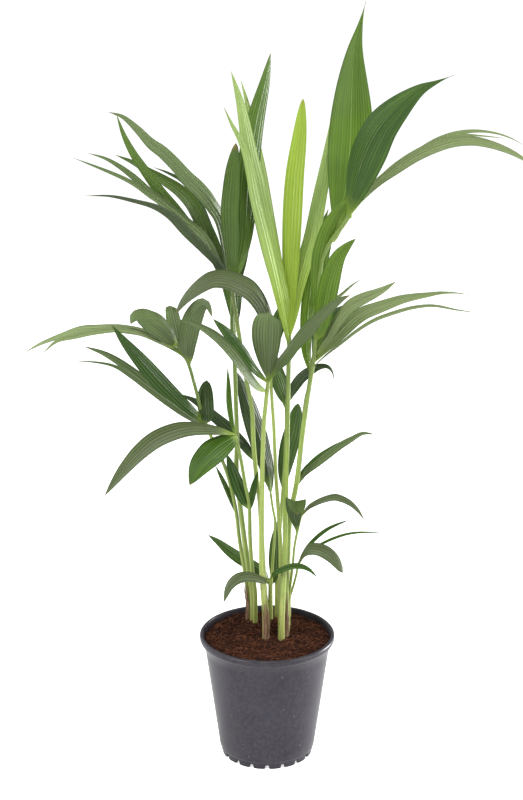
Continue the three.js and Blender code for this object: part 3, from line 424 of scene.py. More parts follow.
              (47, 86, 440), (54, 94, 497), (59, 97, 518), (64, 103, 553), (70, 110, 587)),
        leaflets=(
            Leaflet(0, 15, (-0.2, -0.5, 0.8), ((78, 130, 631), (87, 141, 648), (96, 154, 665),
                     (102, 163, 676))),
            Leaflet(3, 15, (0, -0.6, 0.8), ((67, 134, 629), (66, 152, 659), (68, 168, 689))),
            Leaflet(10, 13, (-0.3, -0.5, 0.8), ((79, 118, 607), (94, 126, 617), (108, 134, 622),
                     (120, 141, 624))),
            Leaflet(34, 13, (-0.1, -0.5, 0.8), ((72, 112, 620), (77, 126, 645), (81, 138, 666))),
        ),
    ),
)

HUSKS: tuple[tuple[str, str, Place, float, float], ...] = (
    ("husk_left", "frond_left", (-1, -0.5, 0), 75, 120),
    ("husk_centre", "frond_front", (0.2, -1, 0), 70, 100),
    ("husk_right", "frond_tall_right", (0.3, -1, 0), 75, 90),
)


# ---------------------------------------------------------------- curves and meshes


def unit(vectors: np.ndarray) -> np.ndarray:
    """The vectors scaled to length one."""
    return vectors / np.maximum(np.linalg.norm(vectors, axis=-1, keepdims=True), TINY)


def marks(rows: int, columns: int, *values: np.ndarray | float) -> np.ndarray:
    """Lays numbers over a grid of points.

    Args:
        rows: Points along.
        columns: Points across.
        values: Each number: the same all over, or by column, or by row and column.

    Returns:
        The numbers of each point, row after row.
    """
    layers = [np.broadcast_to(value, (rows, columns)) for value in values]
    return np.stack(layers, -1).reshape(-1, len(values))


class SmoothCurve:
    """A smooth curve through given points, read by its share of length."""

    # Points laid from each given point to the next.
    STEPS = 48
    # How far ahead and behind a direction is read, in millimetres.
    SIGHT = 1.5

    def __init__(self, places: Sequence[Place]) -> None:
        """Lays the curve.

        Args:
            places: The points that it passes through, in millimetres.
        """
        points = np.array(places, float)
        padded = np.vstack([2 * points[0] - points[1], points, 2 * points[-1] - points[-2]])
        w = np.linspace(0, 1, self.STEPS, endpoint=False)[:, None]
        runs = []
        for a, b, c, d in zip(padded, padded[1:], padded[2:], padded[3:]):
            leave, arrive = (c - a) / 2, (d - b) / 2
            bend = 3 * (c - b) - 2 * leave - arrive
            runs.append(b + leave * w + bend * w**2 + (2 * (b - c) + leave + arrive) * w**3)
        self.points = np.vstack([*runs, points[-1:]])
        steps = np.linalg.norm(np.diff(self.points, axis=0), axis=1)
        self.reach = np.concatenate([[0.0], np.cumsum(steps)])
        self.length = float(self.reach[-1])

    def at(self, shares: np.ndarray) -> np.ndarray:
        """The points at shares of the length."""
        wanted = np.clip(shares, 0, 1) * self.length
        return np.stack([np.interp(wanted, self.reach, self.points[:, k]) for k in range(3)], -1)

    def along(self, shares: np.ndarray) -> np.ndarray:
        """The directions at shares of the length."""
        step = self.SIGHT / self.length
        return unit(self.at(shares + step) - self.at(shares - step))


@dataclass(frozen=True)
class Stops:
    """Places along a curve, each with its direction and its upward and sideways sides."""

    place: np.ndarray
    along: np.ndarray
    up: np.ndarray
    side: np.ndarray

    @classmethod
    def on(cls, curve: SmoothCurve, shares: np.ndarray, face: Place) -> "Stops":
        """Walks a curve without twisting.

        Args:
            curve: The curve.
            shares: Where to stop, as shares of its length.
            face: Where the upward side looks at the middle stop.

        Returns:
            The stops.
        """
        along = curve.along(shares)
        up = np.zeros_like(along)
        middle = len(shares) // 2

        def levelled(lean: np.ndarray, i: int) -> np.ndarray:
            """The direction nearest to a lean that is square to the curve at a stop."""
            return unit(lean - along[i] * float(lean @ along[i]))

        up[middle] = levelled(np.array(face, float), middle)
        for i in range(middle + 1, len(shares)):
            up[i] = levelled(up[i - 1], i)
        for i in range(middle - 1, -1, -1):
            up[i] = levelled(up[i + 1], i)
        return cls(curve.at(shares), along, up, np.cross(along, up))

    def turned(self, angles: np.ndarray) -> "Stops":
        """The same stops, turned about the curve by an angle at each."""
        c, s = np.cos(angles)[:, None], np.sin(angles)[:, None]
        up = self.up * c + self.side * s
        return Stops(self.place, self.along, up, np.cross(self.along, up))

    def outward(self, turns: np.ndarray) -> np.ndarray:
        """Directions away from the curve, by stop and by turn from the upward side."""
        return (np.cos(turns)[..., None] * self.up[:, None]
                + np.sin(turns)[..., None] * self.side[:, None])


class MeshParts:
    """Gathers grids of points into one mesh, with what their materials read."""

    def __init__(self) -> None:
        """Starts empty."""
        self.points: list[np.ndarray] = []
        self.faces: list[np.ndarray] = []
        self.slots: list[np.ndarray] = []
        self.grow: list[np.ndarray] = []
        self.trait: list[np.ndarray] = []
        self.tint: list[np.ndarray] = []
        self.count = 0

    def add(self, points: np.ndarray, faces: np.ndarray, slot: int, grow: np.ndarray,
            trait: np.ndarray, tint: Sequence[float] = (0.0, 0.0, 0.0)) -> None:
        """Adds points and the faces between them.

        Args:
            points: Places, in millimetres.
            faces: Rows of corner numbers among these points, four to a face.
            slot: The material slot of the faces.
            grow: For all points or for each, its place across, its share along and its seed
                from 0 to 1. A leaflet adds the whole number of its ribs to its seed, and the
                pot gives its turn, height and level in place of the three.
            trait: For all points or for each, underside, dryness and light; a leaflet's light is
                painted light or shade, a stalk's or a soil piece's a random tone.
            tint: Shares of painted pale sheen, painted dusky shade and own warm colour.
        """
        self.points.append(points.reshape(-1, 3))
        self.faces.append(faces + self.count)
        self.slots.append(np.full(len(faces), slot))
        self.grow.append(np.broadcast_to(grow, self.points[-1].shape))
        self.trait.append(np.broadcast_to(trait, self.points[-1].shape))
        self.tint.append(np.broadcast_to(tint, self.points[-1].shape))
        self.count += len(self.points[-1])

    def tube(self, rings: np.ndarray, slot: int, grow: np.ndarray, trait: np.ndarray) -> None:
        """Adds a closed tube.

        Args:
            rings: Points, as rings by sides by three.
            slot: The material slot.
            grow: As in add.
            trait: As in add.
        """
        rows, sides = rings.shape[:2]
        i, j = np.meshgrid(np.arange(rows - 1), np.arange(sides), indexing="ij")
        a, b = i * sides + j, i * sides + (j + 1) % sides
        faces = np.stack([a, b, b + sides, a + sides], -1).reshape(-1, 4)
        ends = []
        for row, step in ((0, -1), (rows - 1, 1)):
            for k in range(1, sides - 1, 2):
                corner = [0, k, k + 1, min(k + 2, sides - 1)][::step]
                ends.append([row * sides + each for each in corner])
        self.add(rings, np.vstack([faces, np.array(ends)]), slot, grow, trait)

    def sheet(self, upper: np.ndarray, lower: np.ndarray, slot: int, grow: np.ndarray,
              trait: np.ndarray, tint: Sequence[float] = (0.0, 0.0, 0.0)) -> None:
        """Adds a thin closed sheet between two grids.

        Args:
            upper: Upper points, as rows by columns by three.
            lower: Lower points, alike.
            slot: The material slot.
            grow: For each point of one grid, as in add.
            trait: For each point of one grid, as in add, with the underside left at zero.
            tint: As in add.
        """
        rows, columns = upper.shape[:2]
        number = np.arange(rows * columns).reshape(rows, columns)
        under = number + rows * columns
        top = np.stack([number[:-1, :-1], number[:-1, 1:], number[1:, 1:], number[1:, :-1]], -1)
        low = np.stack([under[:-1, :-1], under[1:, :-1], under[1:, 1:], under[:-1, 1:]], -1)
        edges = ((number[:, 0], under[:, 0]), (under[:, -1], number[:, -1]),
                 (under[0], number[0]), (number[-1], under[-1]))
        walls = [np.stack([b[:-1], a[:-1], a[1:], b[1:]], -1) for a, b in edges]
        faces = np.vstack([top.reshape(-1, 4), low.reshape(-1, 4), *walls])
        grow = np.vstack([grow] * 2)
        trait = np.vstack([trait] * 2)
        trait[rows * columns:, 0] = 1.0
        points = np.vstack([upper.reshape(-1, 3), lower.reshape(-1, 3)])
        self.add(points, faces, slot, grow, trait, tint)

    def piece(self, name: str, materials: Sequence[bpy.types.Material], slot: str,
              nodes: Iterable[str] = (), sharp: float = 50.0) -> bpy.types.Object:
        """Makes the piece and puts it on the frame.

        Args:
            name: The piece's name.
            materials: Its materials, by slot number.
            slot: The record's material slot of its finish; not used.
            nodes: The CAD nodes that it stands for.
            sharp: The angle in degrees past which an edge is sharp.

        Returns:
            The piece.
        """
        mesh = bpy.data.meshes.new(name)
        faces = np.vstack(self.faces)
        rows = [list(dict.fromkeys(row)) for row in faces.tolist()]
        mesh.from_pydata((np.vstack(self.points) * MM).tolist(), [], rows)
        mesh.polygons.foreach_set("material_index", np.concatenate(self.slots).astype(np.int32))
        mesh.polygons.foreach_set("use_smooth", np.ones(len(rows), bool))
        for label, values in (("grow", self.grow), ("trait", self.trait), ("tint", self.tint)):
            layer = mesh.attributes.new(label, "FLOAT_VECTOR", "POINT")
            layer.data.foreach_set("vector", np.vstack(values).astype(np.float32).ravel())
        for material in materials:
            mesh.materials.append(material)
        mesh.update()
        mesh.set_sharp_from_angle(angle=math.radians(sharp))
        made = bpy.data.objects.new(name, mesh)
        bpy.context.scene.collection.objects.link(made)
        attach(made, BODY)
        if nodes:
            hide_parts(*nodes)
        return made


# ---------------------------------------------------------------- node trees


class NodeSheet:
    """Short calls for laying out a node tree."""

    # Where a mix of two colours takes them in and gives the result.
    FIRST_COLOUR, SECOND_COLOUR, MIXED_COLOUR = 6, 7, 2

    def __init__(self, tree: bpy.types.NodeTree) -> None:
        """Takes the tree to work on."""
        self.tree = tree

    def add(self, kind: str, feeds: dict[str | int, Feed] | None = None, **settings: object
            ) -> bpy.types.Node:
        """Adds a node.

        Args:
            kind: Its type.
            feeds: What its inputs are joined to or set to, by name or number.
            settings: Its own properties.

        Returns:
            The node.
        """
        node = self.tree.nodes.new(kind)
        for key, value in settings.items():
            setattr(node, key, value)
        for key, value in (feeds or {}).items():
            self.feed(node.inputs[key], value)
        return node

    def feed(self, socket: Socket, value: Feed) -> None:
        """Joins or sets one input."""
        if isinstance(value, bpy.types.NodeSocket):
            self.tree.links.new(value, socket)
        elif value is not None:
            full = (*value, 1.0) if socket.type == "RGBA" and len(value) == 3 else value
            socket.default_value = full

    def math(self, operation: str, a: Feed, b: Feed = None, c: Feed = None) -> Socket:
        """The result of a sum on one to three numbers."""
        return self.add("ShaderNodeMath", {0: a, 1: b, 2: c}, operation=operation).outputs[0]

    def times(self, a: Feed, b: Feed) -> Socket:
        """The product of two numbers."""
        return self.math("MULTIPLY", a, b)

    def gain(self, a: Feed, b: Feed, start: Feed) -> Socket:
        """A start value with the product of two numbers added."""
        return self.math("MULTIPLY_ADD", a, b, start)

    def mix(self, share: Feed, a: Feed, b: Feed, blend: str = "MIX") -> Socket:
        """Two colours mixed."""
        feeds = {0: share, self.FIRST_COLOUR: a, self.SECOND_COLOUR: b}
        node = self.add("ShaderNodeMix", feeds, data_type="RGBA", blend_type=blend)
        return node.outputs[self.MIXED_COLOUR]

    def ease(self, value: Feed, low: float, high: float, start: float = 0.0, end: float = 1.0
             ) -> Socket:
        """A value eased from start to end as it goes from low to high."""
        feeds = {0: value, 1: low, 2: high, 3: start, 4: end}
        node = self.add("ShaderNodeMapRange", feeds, interpolation_type="SMOOTHSTEP")
        return node.outputs[0]

    def noise(self, vector: Feed, scale: Feed, detail: float = 3.0, roughness: float = 0.55
              ) -> Socket:
        """Noise from 0 to 1 at a place."""
        feeds = {"Vector": vector, "Scale": scale, "Detail": detail, "Roughness": roughness}
        return self.add("ShaderNodeTexNoise", feeds).outputs[0]

    def vector(self, x: Feed, y: Feed, z: Feed) -> Socket:
        """Three numbers as a vector."""
        return self.add("ShaderNodeCombineXYZ", {0: x, 1: y, 2: z}).outputs[0]

    def read(self, name: str) -> tuple[Socket, Socket, Socket]:
        """The three numbers of a mesh attribute."""
        source = self.add("ShaderNodeAttribute", attribute_name=name)
        parts = self.add("ShaderNodeSeparateXYZ", {0: source.outputs["Vector"]}).outputs
        return parts[0], parts[1], parts[2]

    def own_place(self) -> Socket:
        """The place on the piece, in metres."""
        return self.add("ShaderNodeTexCoord").outputs["Object"]

    def effect(self, tree: bpy.types.NodeTree, **feeds: Feed) -> bpy.types.NodeOutputs:
        """Places a shared effect with its own values."""
        node = self.add("ShaderNodeGroup", node_tree=tree)
        for name, value in feeds.items():
            self.feed(node.inputs[name.replace("_", " ").title()], value)
        return node.outputs

    def relief(self, shader: bpy.types.Node, height: Socket, depth: float, strength: float
               ) -> Socket:
        """Gives a shader a fine relief.

        Args:
            shader: The shader.
            height: The relief's height, from 0 to about 1.
            depth: What a height of 1 stands for, in millimetres.
            strength: How far it counts.

        Returns:
            The normal of the relief.
        """
        feeds = {"Strength": strength, "Distance": depth * MM, "Height": height}
        normal = self.add("ShaderNodeBump", feeds).outputs[0]
        self.feed(shader.inputs["Normal"], normal)
        return normal


class Effects:
    """The effects that more than one finish uses, each a node group built once."""

    # How far a seed moves the place that a noise is read at.
    MOTTLE_SHIFT, STREAK_SHIFT, RIB_SHIFT = 1.7, 37.0, 53.0
    # How much finer flecks are than patches, and fibres than streaks, across and along.
    FLECK_RATIO, FIBRE_ACROSS, FIBRE_ALONG = 11.0, 4.0, 2.5
    # Half widths of a vein and of the midrib, as shares of a lane and of half the blade.
    VEIN_WIDTH, MIDRIB_WIDTH = 0.13, 0.05
    # How far the furrow between two veins goes below the blade, a vein's height being one.
    FURROW_DEPTH = 0.3

    def __init__(self) -> None:
        """Builds the groups."""
        self.mottle = self._mottle()
        self.streaks = self._streaks()
        self.ribs = self._ribs()

    @staticmethod
    def _group(name: str, inputs: dict[str, str], outputs: Sequence[str]
               ) -> tuple[bpy.types.NodeTree, NodeSheet, bpy.types.NodeOutputs]:
        """Starts a group.

        Args:
            name: Its name.
            inputs: The kinds of its inputs, by name.
            outputs: The names of its number outputs.

        Returns:
            The tree, a sheet to work on it, and what its inputs bring.
        """
        tree = bpy.data.node_groups.new(name, "ShaderNodeTree")
        for label, kind in inputs.items():
            tree.interface.new_socket(label, in_out="INPUT", socket_type=kind)
        for label in outputs:
            tree.interface.new_socket(label, in_out="OUTPUT", socket_type="NodeSocketFloat")
        return tree, NodeSheet(tree), tree.nodes.new("NodeGroupInput").outputs

    @staticmethod
    def _end(sheet: NodeSheet, **results: Socket) -> None:
        """Joins a group's results to its outputs, in order."""
        end = sheet.tree.nodes.new("NodeGroupOutput")
        for socket, value in zip(end.inputs, results.values()):
            sheet.tree.links.new(value, socket)

    def _mottle(self) -> bpy.types.NodeTree:
        """Broad patches and fine flecks over a surface."""
        inputs = {"Vector": "NodeSocketVector", "Scale": "NodeSocketFloat",
                  "Seed": "NodeSocketFloat"}
        tree, sheet, given = self._group("Mottle", inputs, ("Patch", "Fleck"))
        seed, scale = given["Seed"], given["Scale"]
        shift = sheet.vector(seed, sheet.times(seed, self.MOTTLE_SHIFT), 0.0)
        place = sheet.add("ShaderNodeVectorMath", {0: given["Vector"], 1: shift}).outputs[0]
        patch = sheet.noise(place, scale, detail=2.0)
        finer = sheet.times(scale, self.FLECK_RATIO)
        fleck = sheet.noise(place, finer, detail=4.0, roughness=0.65)
        self._end(sheet, patch=sheet.ease(patch, 0.3, 0.7), fleck=sheet.ease(fleck, 0.35, 0.68))
        return tree

    def _streaks(self) -> bpy.types.NodeTree:
        """Long fibres that run along a leaf, a stalk or a husk."""
        inputs = {"Across": "NodeSocketFloat", "Along": "NodeSocketFloat",
                  "Seed": "NodeSocketFloat", "Count": "NodeSocketFloat"}
        tree, sheet, given = self._group("Streaks", inputs, ("Streak", "Fibre"))
        seed = sheet.times(given["Seed"], self.STREAK_SHIFT)
        across = sheet.times(given["Across"], given["Count"])
        streak = sheet.noise(sheet.vector(across, given["Along"], seed), 1.0, detail=2.0)
        tight = sheet.times(across, self.FIBRE_ACROSS)
        slow = sheet.times(given["Along"], self.FIBRE_ALONG)
        fibre = sheet.noise(sheet.vector(tight, slow, seed), 1.0)
        self._end(sheet, streak=sheet.ease(streak, 0.3, 0.7), fibre=sheet.ease(fibre, 0.3, 0.7))
        return tree

    def _ribs(self) -> bpy.types.NodeTree:
        """The raised veins of a blade: a midrib and lines beside it, not all alike."""
        inputs = {"Across": "NodeSocketFloat", "Along": "NodeSocketFloat",
                  "Seed": "NodeSocketFloat", "Count": "NodeSocketFloat"}
        tree, sheet, given = self._group("Ribs", inputs, ("Vein", "Furrow", "Height"))
        spread = sheet.times(given["Across"], given["Count"])
        lane = sheet.math("ROUND", spread)
        near = sheet.math("ABSOLUTE", sheet.math("SUBTRACT", spread, lane))
        line = sheet.ease(near, 0.0, self.VEIN_WIDTH, 1.0, 0.0)
        between = sheet.ease(near, 0.24, 0.5)
        own = sheet.vector(lane, sheet.times(given["Seed"], self.RIB_SHIFT), 0.0)
        chance = sheet.add("ShaderNodeTexWhiteNoise", {0: own}, noise_dimensions="3D").outputs[0]
        strong = sheet.times(line, sheet.ease(chance, 0.1, 0.9, 0.2, 1.0))
        off_middle = sheet.math("ABSOLUTE", given["Across"])
        middle = sheet.ease(off_middle, 0.0, self.MIDRIB_WIDTH, 1.0, 0.0)
        fade = sheet.ease(given["Along"], 0.75, 1.0, 1.0, 0.2)
        vein = sheet.times(sheet.math("MAXIMUM", strong, middle), fade)
        height = sheet.gain(between, -self.FURROW_DEPTH, vein)
        # The furrow output is the mask of the furrows, which the leaf finish darkens with painted
        # shade.
        self._end(sheet, vein=vein, furrow=sheet.times(between, fade), height=height)
        return tree


@dataclass(frozen=True)
class Finish:
    """A material's name and how it is started; the kinds below dress it."""

    name: str

    def start(self) -> tuple[bpy.types.Material, NodeSheet, bpy.types.Node, bpy.types.Node]:
        """Starts the material.

        Returns:
            The material, a sheet to work on it, its shader and its output.
        """
        material = bpy.data.materials.new(self.name)
        material.use_nodes = True
        material.node_tree.nodes.clear()
        sheet = NodeSheet(material.node_tree)
        shader = sheet.add("ShaderNodeBsdfPrincipled")
        out = sheet.add("ShaderNodeOutputMaterial", {0: shader.outputs[0]})
        return material, sheet, shader, out


@dataclass(frozen=True)
class LeafFinish(Finish):
    """A leaf blade: veined, glossy above, greyer below, dry at the tip.

    The shares say how far each thing colours the blade, and the lights how far each takes it from
    its dark to its bright green. A leaflet's own light is painted light or shade, and its pale and
    dusky shares are painted sheen and painted shade.
    """

    dark: Colour
    bright: Colour
    vein: Colour
    under: Colour
    root: Colour
    # The pale colour is painted sheen, and the dusky one that follows is painted shade.
    pale: Colour = (0.35, 0.375, 0.235)
    painted_shade: Colour = (0.057, 0.061, 0.038)
    warm: Colour = (0.17, 0.27, 0.012)
    # The furrow colour is multiplied in as painted shade in the furrows between veins.
    furrow: Colour = (0.55, 0.62, 0.45)
    ridge: Colour = (1.9, 1.6, 2.2)
    dry: Colour = (0.25, 0.14, 0.05)
    root_reach: float = 0.16
    root_share: float = 0.85
    dry_start: float = 0.965
    dry_rag: float = 0.03
    seed_light: float = 0.45
    patch_light: float = 0.25
    streak_light: float = 0.35
    full_light: float = 1.15
    tint_share: float = 0.75
    furrow_share: float = 0.62
    vein_share: float = 0.7
    vein_tint: float = 0.4
    fibre_share: float = 0.14
    edge_start: float = 0.9
    edge_share: float = 0.5
    under_share: float = 0.75
    under_vein_share: float = 0.4
    patch_scale: float = 16.0
    streak_count: float = 4.0
    gloss: float = 0.34
    fleck_rough: float = 0.12
    under_rough: float = 0.16
    sheen: float = 0.3
    relief_depth: float = 0.5
    relief_strength: float = 0.5
    fibre_height: float = 0.2
    glow: float = 0.18
    glow_tint: float = 0.5

    def material(self, effects: Effects) -> bpy.types.Material:
        """Builds the material from the shared effects."""
        made, sheet, shader, out = self.start()
        across, along, numbers = sheet.read("grow")
        underside, dryness, light = sheet.read("trait")
        numbers = sheet.math("ADD", numbers, 0.5 / SEED_STEPS)
        numbers = sheet.math("SNAP", numbers, 1.0 / SEED_STEPS)
        count = sheet.math("FLOOR", numbers)
        seed = sheet.math("SUBTRACT", numbers, count)
        ribs = sheet.effect(effects.ribs, across=across, along=along, seed=seed, count=count)
        streaks = sheet.effect(effects.streaks, across=across, along=along, seed=seed,
                               count=self.streak_count)
        mottle = sheet.effect(effects.mottle, vector=sheet.own_place(), scale=self.patch_scale,
                              seed=seed)

        # The leaflet's light is painted light or shade, added to its random tone.
        lit = sheet.gain(seed, self.seed_light, light)
        lit = sheet.gain(mottle["Patch"], self.patch_light, lit)
        lit = sheet.gain(streaks["Streak"], self.streak_light, lit)
        colour = self._upper(sheet, lit, across, ribs, streaks)
        below = sheet.mix(sheet.times(ribs["Vein"], self.under_vein_share), self.under, self.vein)
        colour = sheet.mix(sheet.times(underside, self.under_share), colour, below)
        fresh = sheet.ease(along, 0.0, self.root_reach, self.root_share, 0.0)
        colour = sheet.mix(fresh, colour, self.root)
        ragged = sheet.gain(mottle["Fleck"], self.dry_rag, along)
        burnt = sheet.times(sheet.ease(ragged, self.dry_start, 1.0), dryness)
        colour = sheet.mix(burnt, colour, self.dry)
        sheet.feed(shader.inputs["Base Color"], colour)

        rough = sheet.gain(mottle["Fleck"], self.fleck_rough, self.gloss)
        rough = sheet.gain(underside, self.under_rough, rough)
        sheet.feed(shader.inputs["Roughness"], rough)
        shader.inputs["Specular IOR Level"].default_value = self.sheen
        height = sheet.gain(streaks["Fibre"], self.fibre_height, ribs["Height"])
        normal = sheet.relief(shader, height, self.relief_depth, self.relief_strength)
        through = sheet.add("ShaderNodeBsdfTranslucent", {
            "Color": sheet.mix(self.glow_tint, colour, self.bright), "Normal": normal})
        leaf = sheet.add("ShaderNodeMixShader", {
            0: self.glow, 1: shader.outputs[0], 2: through.outputs[0]})
        sheet.feed(out.inputs[0], leaf.outputs[0])
        return made

    def _upper(self, sheet: NodeSheet, lit: Socket, across: Socket,
               ribs: bpy.types.NodeOutputs, streaks: bpy.types.NodeOutputs) -> Socket:
        """The colour of the upper side.

        Args:
            sheet: The material's sheet.
            lit: How bright the place is, by seed, patch, streak and the leaflet's painted light or
                shade.
            across: The share across the blade.
            ribs: What the rib effect gives.
            streaks: What the streak effect gives.

        Returns:
            The colour.
        """
        pale, painted_shade, warm = sheet.read("tint")
        colour = sheet.mix(sheet.ease(lit, 0.0, self.full_light), self.dark, self.bright)
        # The leaflet's shares mix in its own warm colour, painted dusky shade and painted pale
        # sheen.
        for share, towards in ((warm, self.warm), (painted_shade, self.painted_shade), (pale, self.pale)):
            colour = sheet.mix(sheet.times(share, self.tint_share), colour, towards)
        # Painted shade in the furrows between the veins.
        shade = sheet.mix(1.0, colour, self.furrow, "MULTIPLY")
        colour = sheet.mix(sheet.times(ribs["Furrow"], self.furrow_share), colour, shade)
        veins = sheet.times(ribs["Vein"], self.vein_share)
        lines = sheet.gain(streaks["Fibre"], self.fibre_share, veins)
        raised = sheet.mix(1.0, colour, self.ridge, "MULTIPLY")
        colour = sheet.mix(lines, colour, sheet.mix(self.vein_tint, raised, self.vein))
        off_middle = sheet.math("ABSOLUTE", across)
        edge = sheet.ease(off_middle, self.edge_start, 1.0, 0.0, self.edge_share)
        return sheet.mix(edge, colour, self.dark)


@dataclass(frozen=True)
class StalkFinish(Finish):
    """A leafstalk: pale and yellowish below, greener above, finely streaked, with painted shade
    darkening one side.
    """

    foot: Colour
    middle: Colour
    top: Colour
    scar: Colour = (0.13, 0.065, 0.025)
    patch_scale: float = 22.0
    patch_wander: float = 0.12
    streak_count: float = 5.0
    streak_pace: float = 6.0
    streak_share: float = 0.6
    # The painted shade on one side of a stalk: its turn by seed and its share.
    shaded_side_turn: float = 20.0
    shaded_side_share: float = 0.55
    light_share: float = 0.5
    scar_share: float = 0.12
    fibre_wear: float = 0.8
    gloss: float = 0.3
    fleck_rough: float = 0.1
    worn_rough: float = 0.35
    relief_depth: float = 0.5
    relief_strength: float = 0.4

    def material(self, effects: Effects) -> bpy.types.Material:
        """Builds the material from the shared effects."""
        made, sheet, shader, _ = self.start()
        turn, along, seed = sheet.read("grow")
        _, dryness, light = sheet.read("trait")
        streaks = sheet.effect(effects.streaks, across=turn, seed=seed, count=self.streak_count,
                               along=sheet.times(along, self.streak_pace))
        mottle = sheet.effect(effects.mottle, vector=sheet.own_place(), scale=self.patch_scale,
                              seed=seed)
        wander = sheet.gain(mottle["Patch"], self.patch_wander, along)
        colour = sheet.mix(sheet.ease(wander, 0.08, 0.4), self.foot, self.middle)
        colour = sheet.mix(sheet.ease(wander, 0.5, 1.0), colour, self.top)
        colour = sheet.mix(sheet.times(streaks["Streak"], self.streak_share), colour, self.top)
        # Painted shade: one side of each stalk is darker green, at a turn set by its seed.
        angle = sheet.gain(turn, math.pi, sheet.times(seed, self.shaded_side_turn))
        shaded_side = sheet.ease(sheet.math("SINE", angle), -0.2, 1.0)
        colour = sheet.mix(sheet.times(shaded_side, self.shaded_side_share), colour, self.top)
        lines = sheet.ease(streaks["Fibre"], 0.6, 1.0, 0.0, 0.3)
        colour = sheet.mix(lines, colour, self.foot)
        colour = sheet.mix(sheet.times(light, self.light_share), colour, self.foot)
        fleck = sheet.ease(mottle["Fleck"], 0.62, 0.95)
        rubbed = sheet.math("MAXIMUM", fleck, sheet.times(streaks["Fibre"], self.fibre_wear))
        worn = sheet.times(dryness, rubbed)
        colour = sheet.mix(sheet.times(fleck, self.scar_share), colour, self.scar)
        colour = sheet.mix(worn, colour, self.scar)
        sheet.feed(shader.inputs["Base Color"], colour)
        rough = sheet.gain(mottle["Fleck"], self.fleck_rough, self.gloss)
        sheet.feed(shader.inputs["Roughness"], sheet.gain(worn, self.worn_rough, rough))
        sheet.relief(shader, streaks["Fibre"], self.relief_depth, self.relief_strength)
        return made


@dataclass(frozen=True)
class HuskFinish(Finish):
    """Dry leaf sheath: brown fibres with pale ones between them."""

    dark: Colour = (0.09, 0.04, 0.018)
    pale: Colour = (0.42, 0.27, 0.15)
    patch_scale: float = 60.0
    patch_share: float = 0.5
    streak_count: float = 5.0
    streak_pace: float = 2.0
    streak_share: float = 0.5
    fibre_share: float = 0.4
    gloss: float = 0.65
    fleck_rough: float = 0.2
    relief_depth: float = 0.6
    relief_strength: float = 0.8

    def material(self, effects: Effects) -> bpy.types.Material:
        """Builds the material from the shared effects."""
        made, sheet, shader, _ = self.start()
        across, along, seed = sheet.read("grow")
        streaks = sheet.effect(effects.streaks, across=across, seed=seed,
                               count=self.streak_count,
                               along=sheet.times(along, self.streak_pace))
        mottle = sheet.effect(effects.mottle, vector=sheet.own_place(), scale=self.patch_scale,
                              seed=seed)
        streaked = sheet.times(streaks["Streak"], self.streak_share)
        share = sheet.gain(mottle["Patch"], self.patch_share, streaked)
        colour = sheet.mix(share, self.dark, self.pale)
        colour = sheet.mix(sheet.times(streaks["Fibre"], self.fibre_share), colour, self.dark)
        sheet.feed(shader.inputs["Base Color"], colour)
        rough = sheet.gain(mottle["Fleck"], self.fleck_rough, self.gloss)
        sheet.feed(shader.inputs["Roughness"], rough)
        sheet.relief(shader, streaks["Fibre"], self.relief_depth, self.relief_strength)
        return made


@dataclass(frozen=True)
class SoilFinish(Finish):
    """Coir and peat: red-brown, with painted shade in the hollows of its fine grain, and paler
    fibres.
    """

    dark: Colour = (0.005, 0.002, 0.0013)
    warm: Colour = (0.046, 0.0135, 0.0065)
    pale: Colour = (0.2, 0.072, 0.034)
    patch_scale: float = 45.0
    patch_share: float = 0.35
    fleck_share: float = 0.4
    grain_scale: float = 900.0
    # The painted shade between the grain's crests and its hollows.
    hollow_shade_share: float = 0.45
    sheen: float = 0.15
    relief_depth: float = 1.0
    relief_strength: float = 0.7

    def material(self, effects: Effects) -> bpy.types.Material:
        """Builds the material from the shared effects."""
        made, sheet, shader, _ = self.start()
        _, _, seed = sheet.read("grow")
        _, _, light = sheet.read("trait")
        place = sheet.own_place()
        mottle = sheet.effect(effects.mottle, vector=place, scale=self.patch_scale, seed=seed)
        grain = sheet.noise(place, self.grain_scale, detail=4.0, roughness=0.7)
        flecked = sheet.times(mottle["Fleck"], self.fleck_share)
        share = sheet.gain(mottle["Patch"], self.patch_share, flecked)
        colour = sheet.mix(share, self.dark, self.warm)
        # Painted shade: the grain's hollows, which its relief sinks, stay darker than its crests.
        colour = sheet.mix(sheet.ease(grain, 0.5, 0.75, 0.0, self.hollow_shade_share), colour, self.warm)
        colour = sheet.mix(light, colour, self.pale)
        sheet.feed(shader.inputs["Base Color"], colour)
        sheet.feed(shader.inputs["Roughness"], sheet.ease(grain, 0.3, 0.7, 0.75, 1.0))
        shader.inputs["Specular IOR Level"].default_value = self.sheen
        sheet.relief(shader, grain, self.relief_depth, self.relief_strength)
        return made


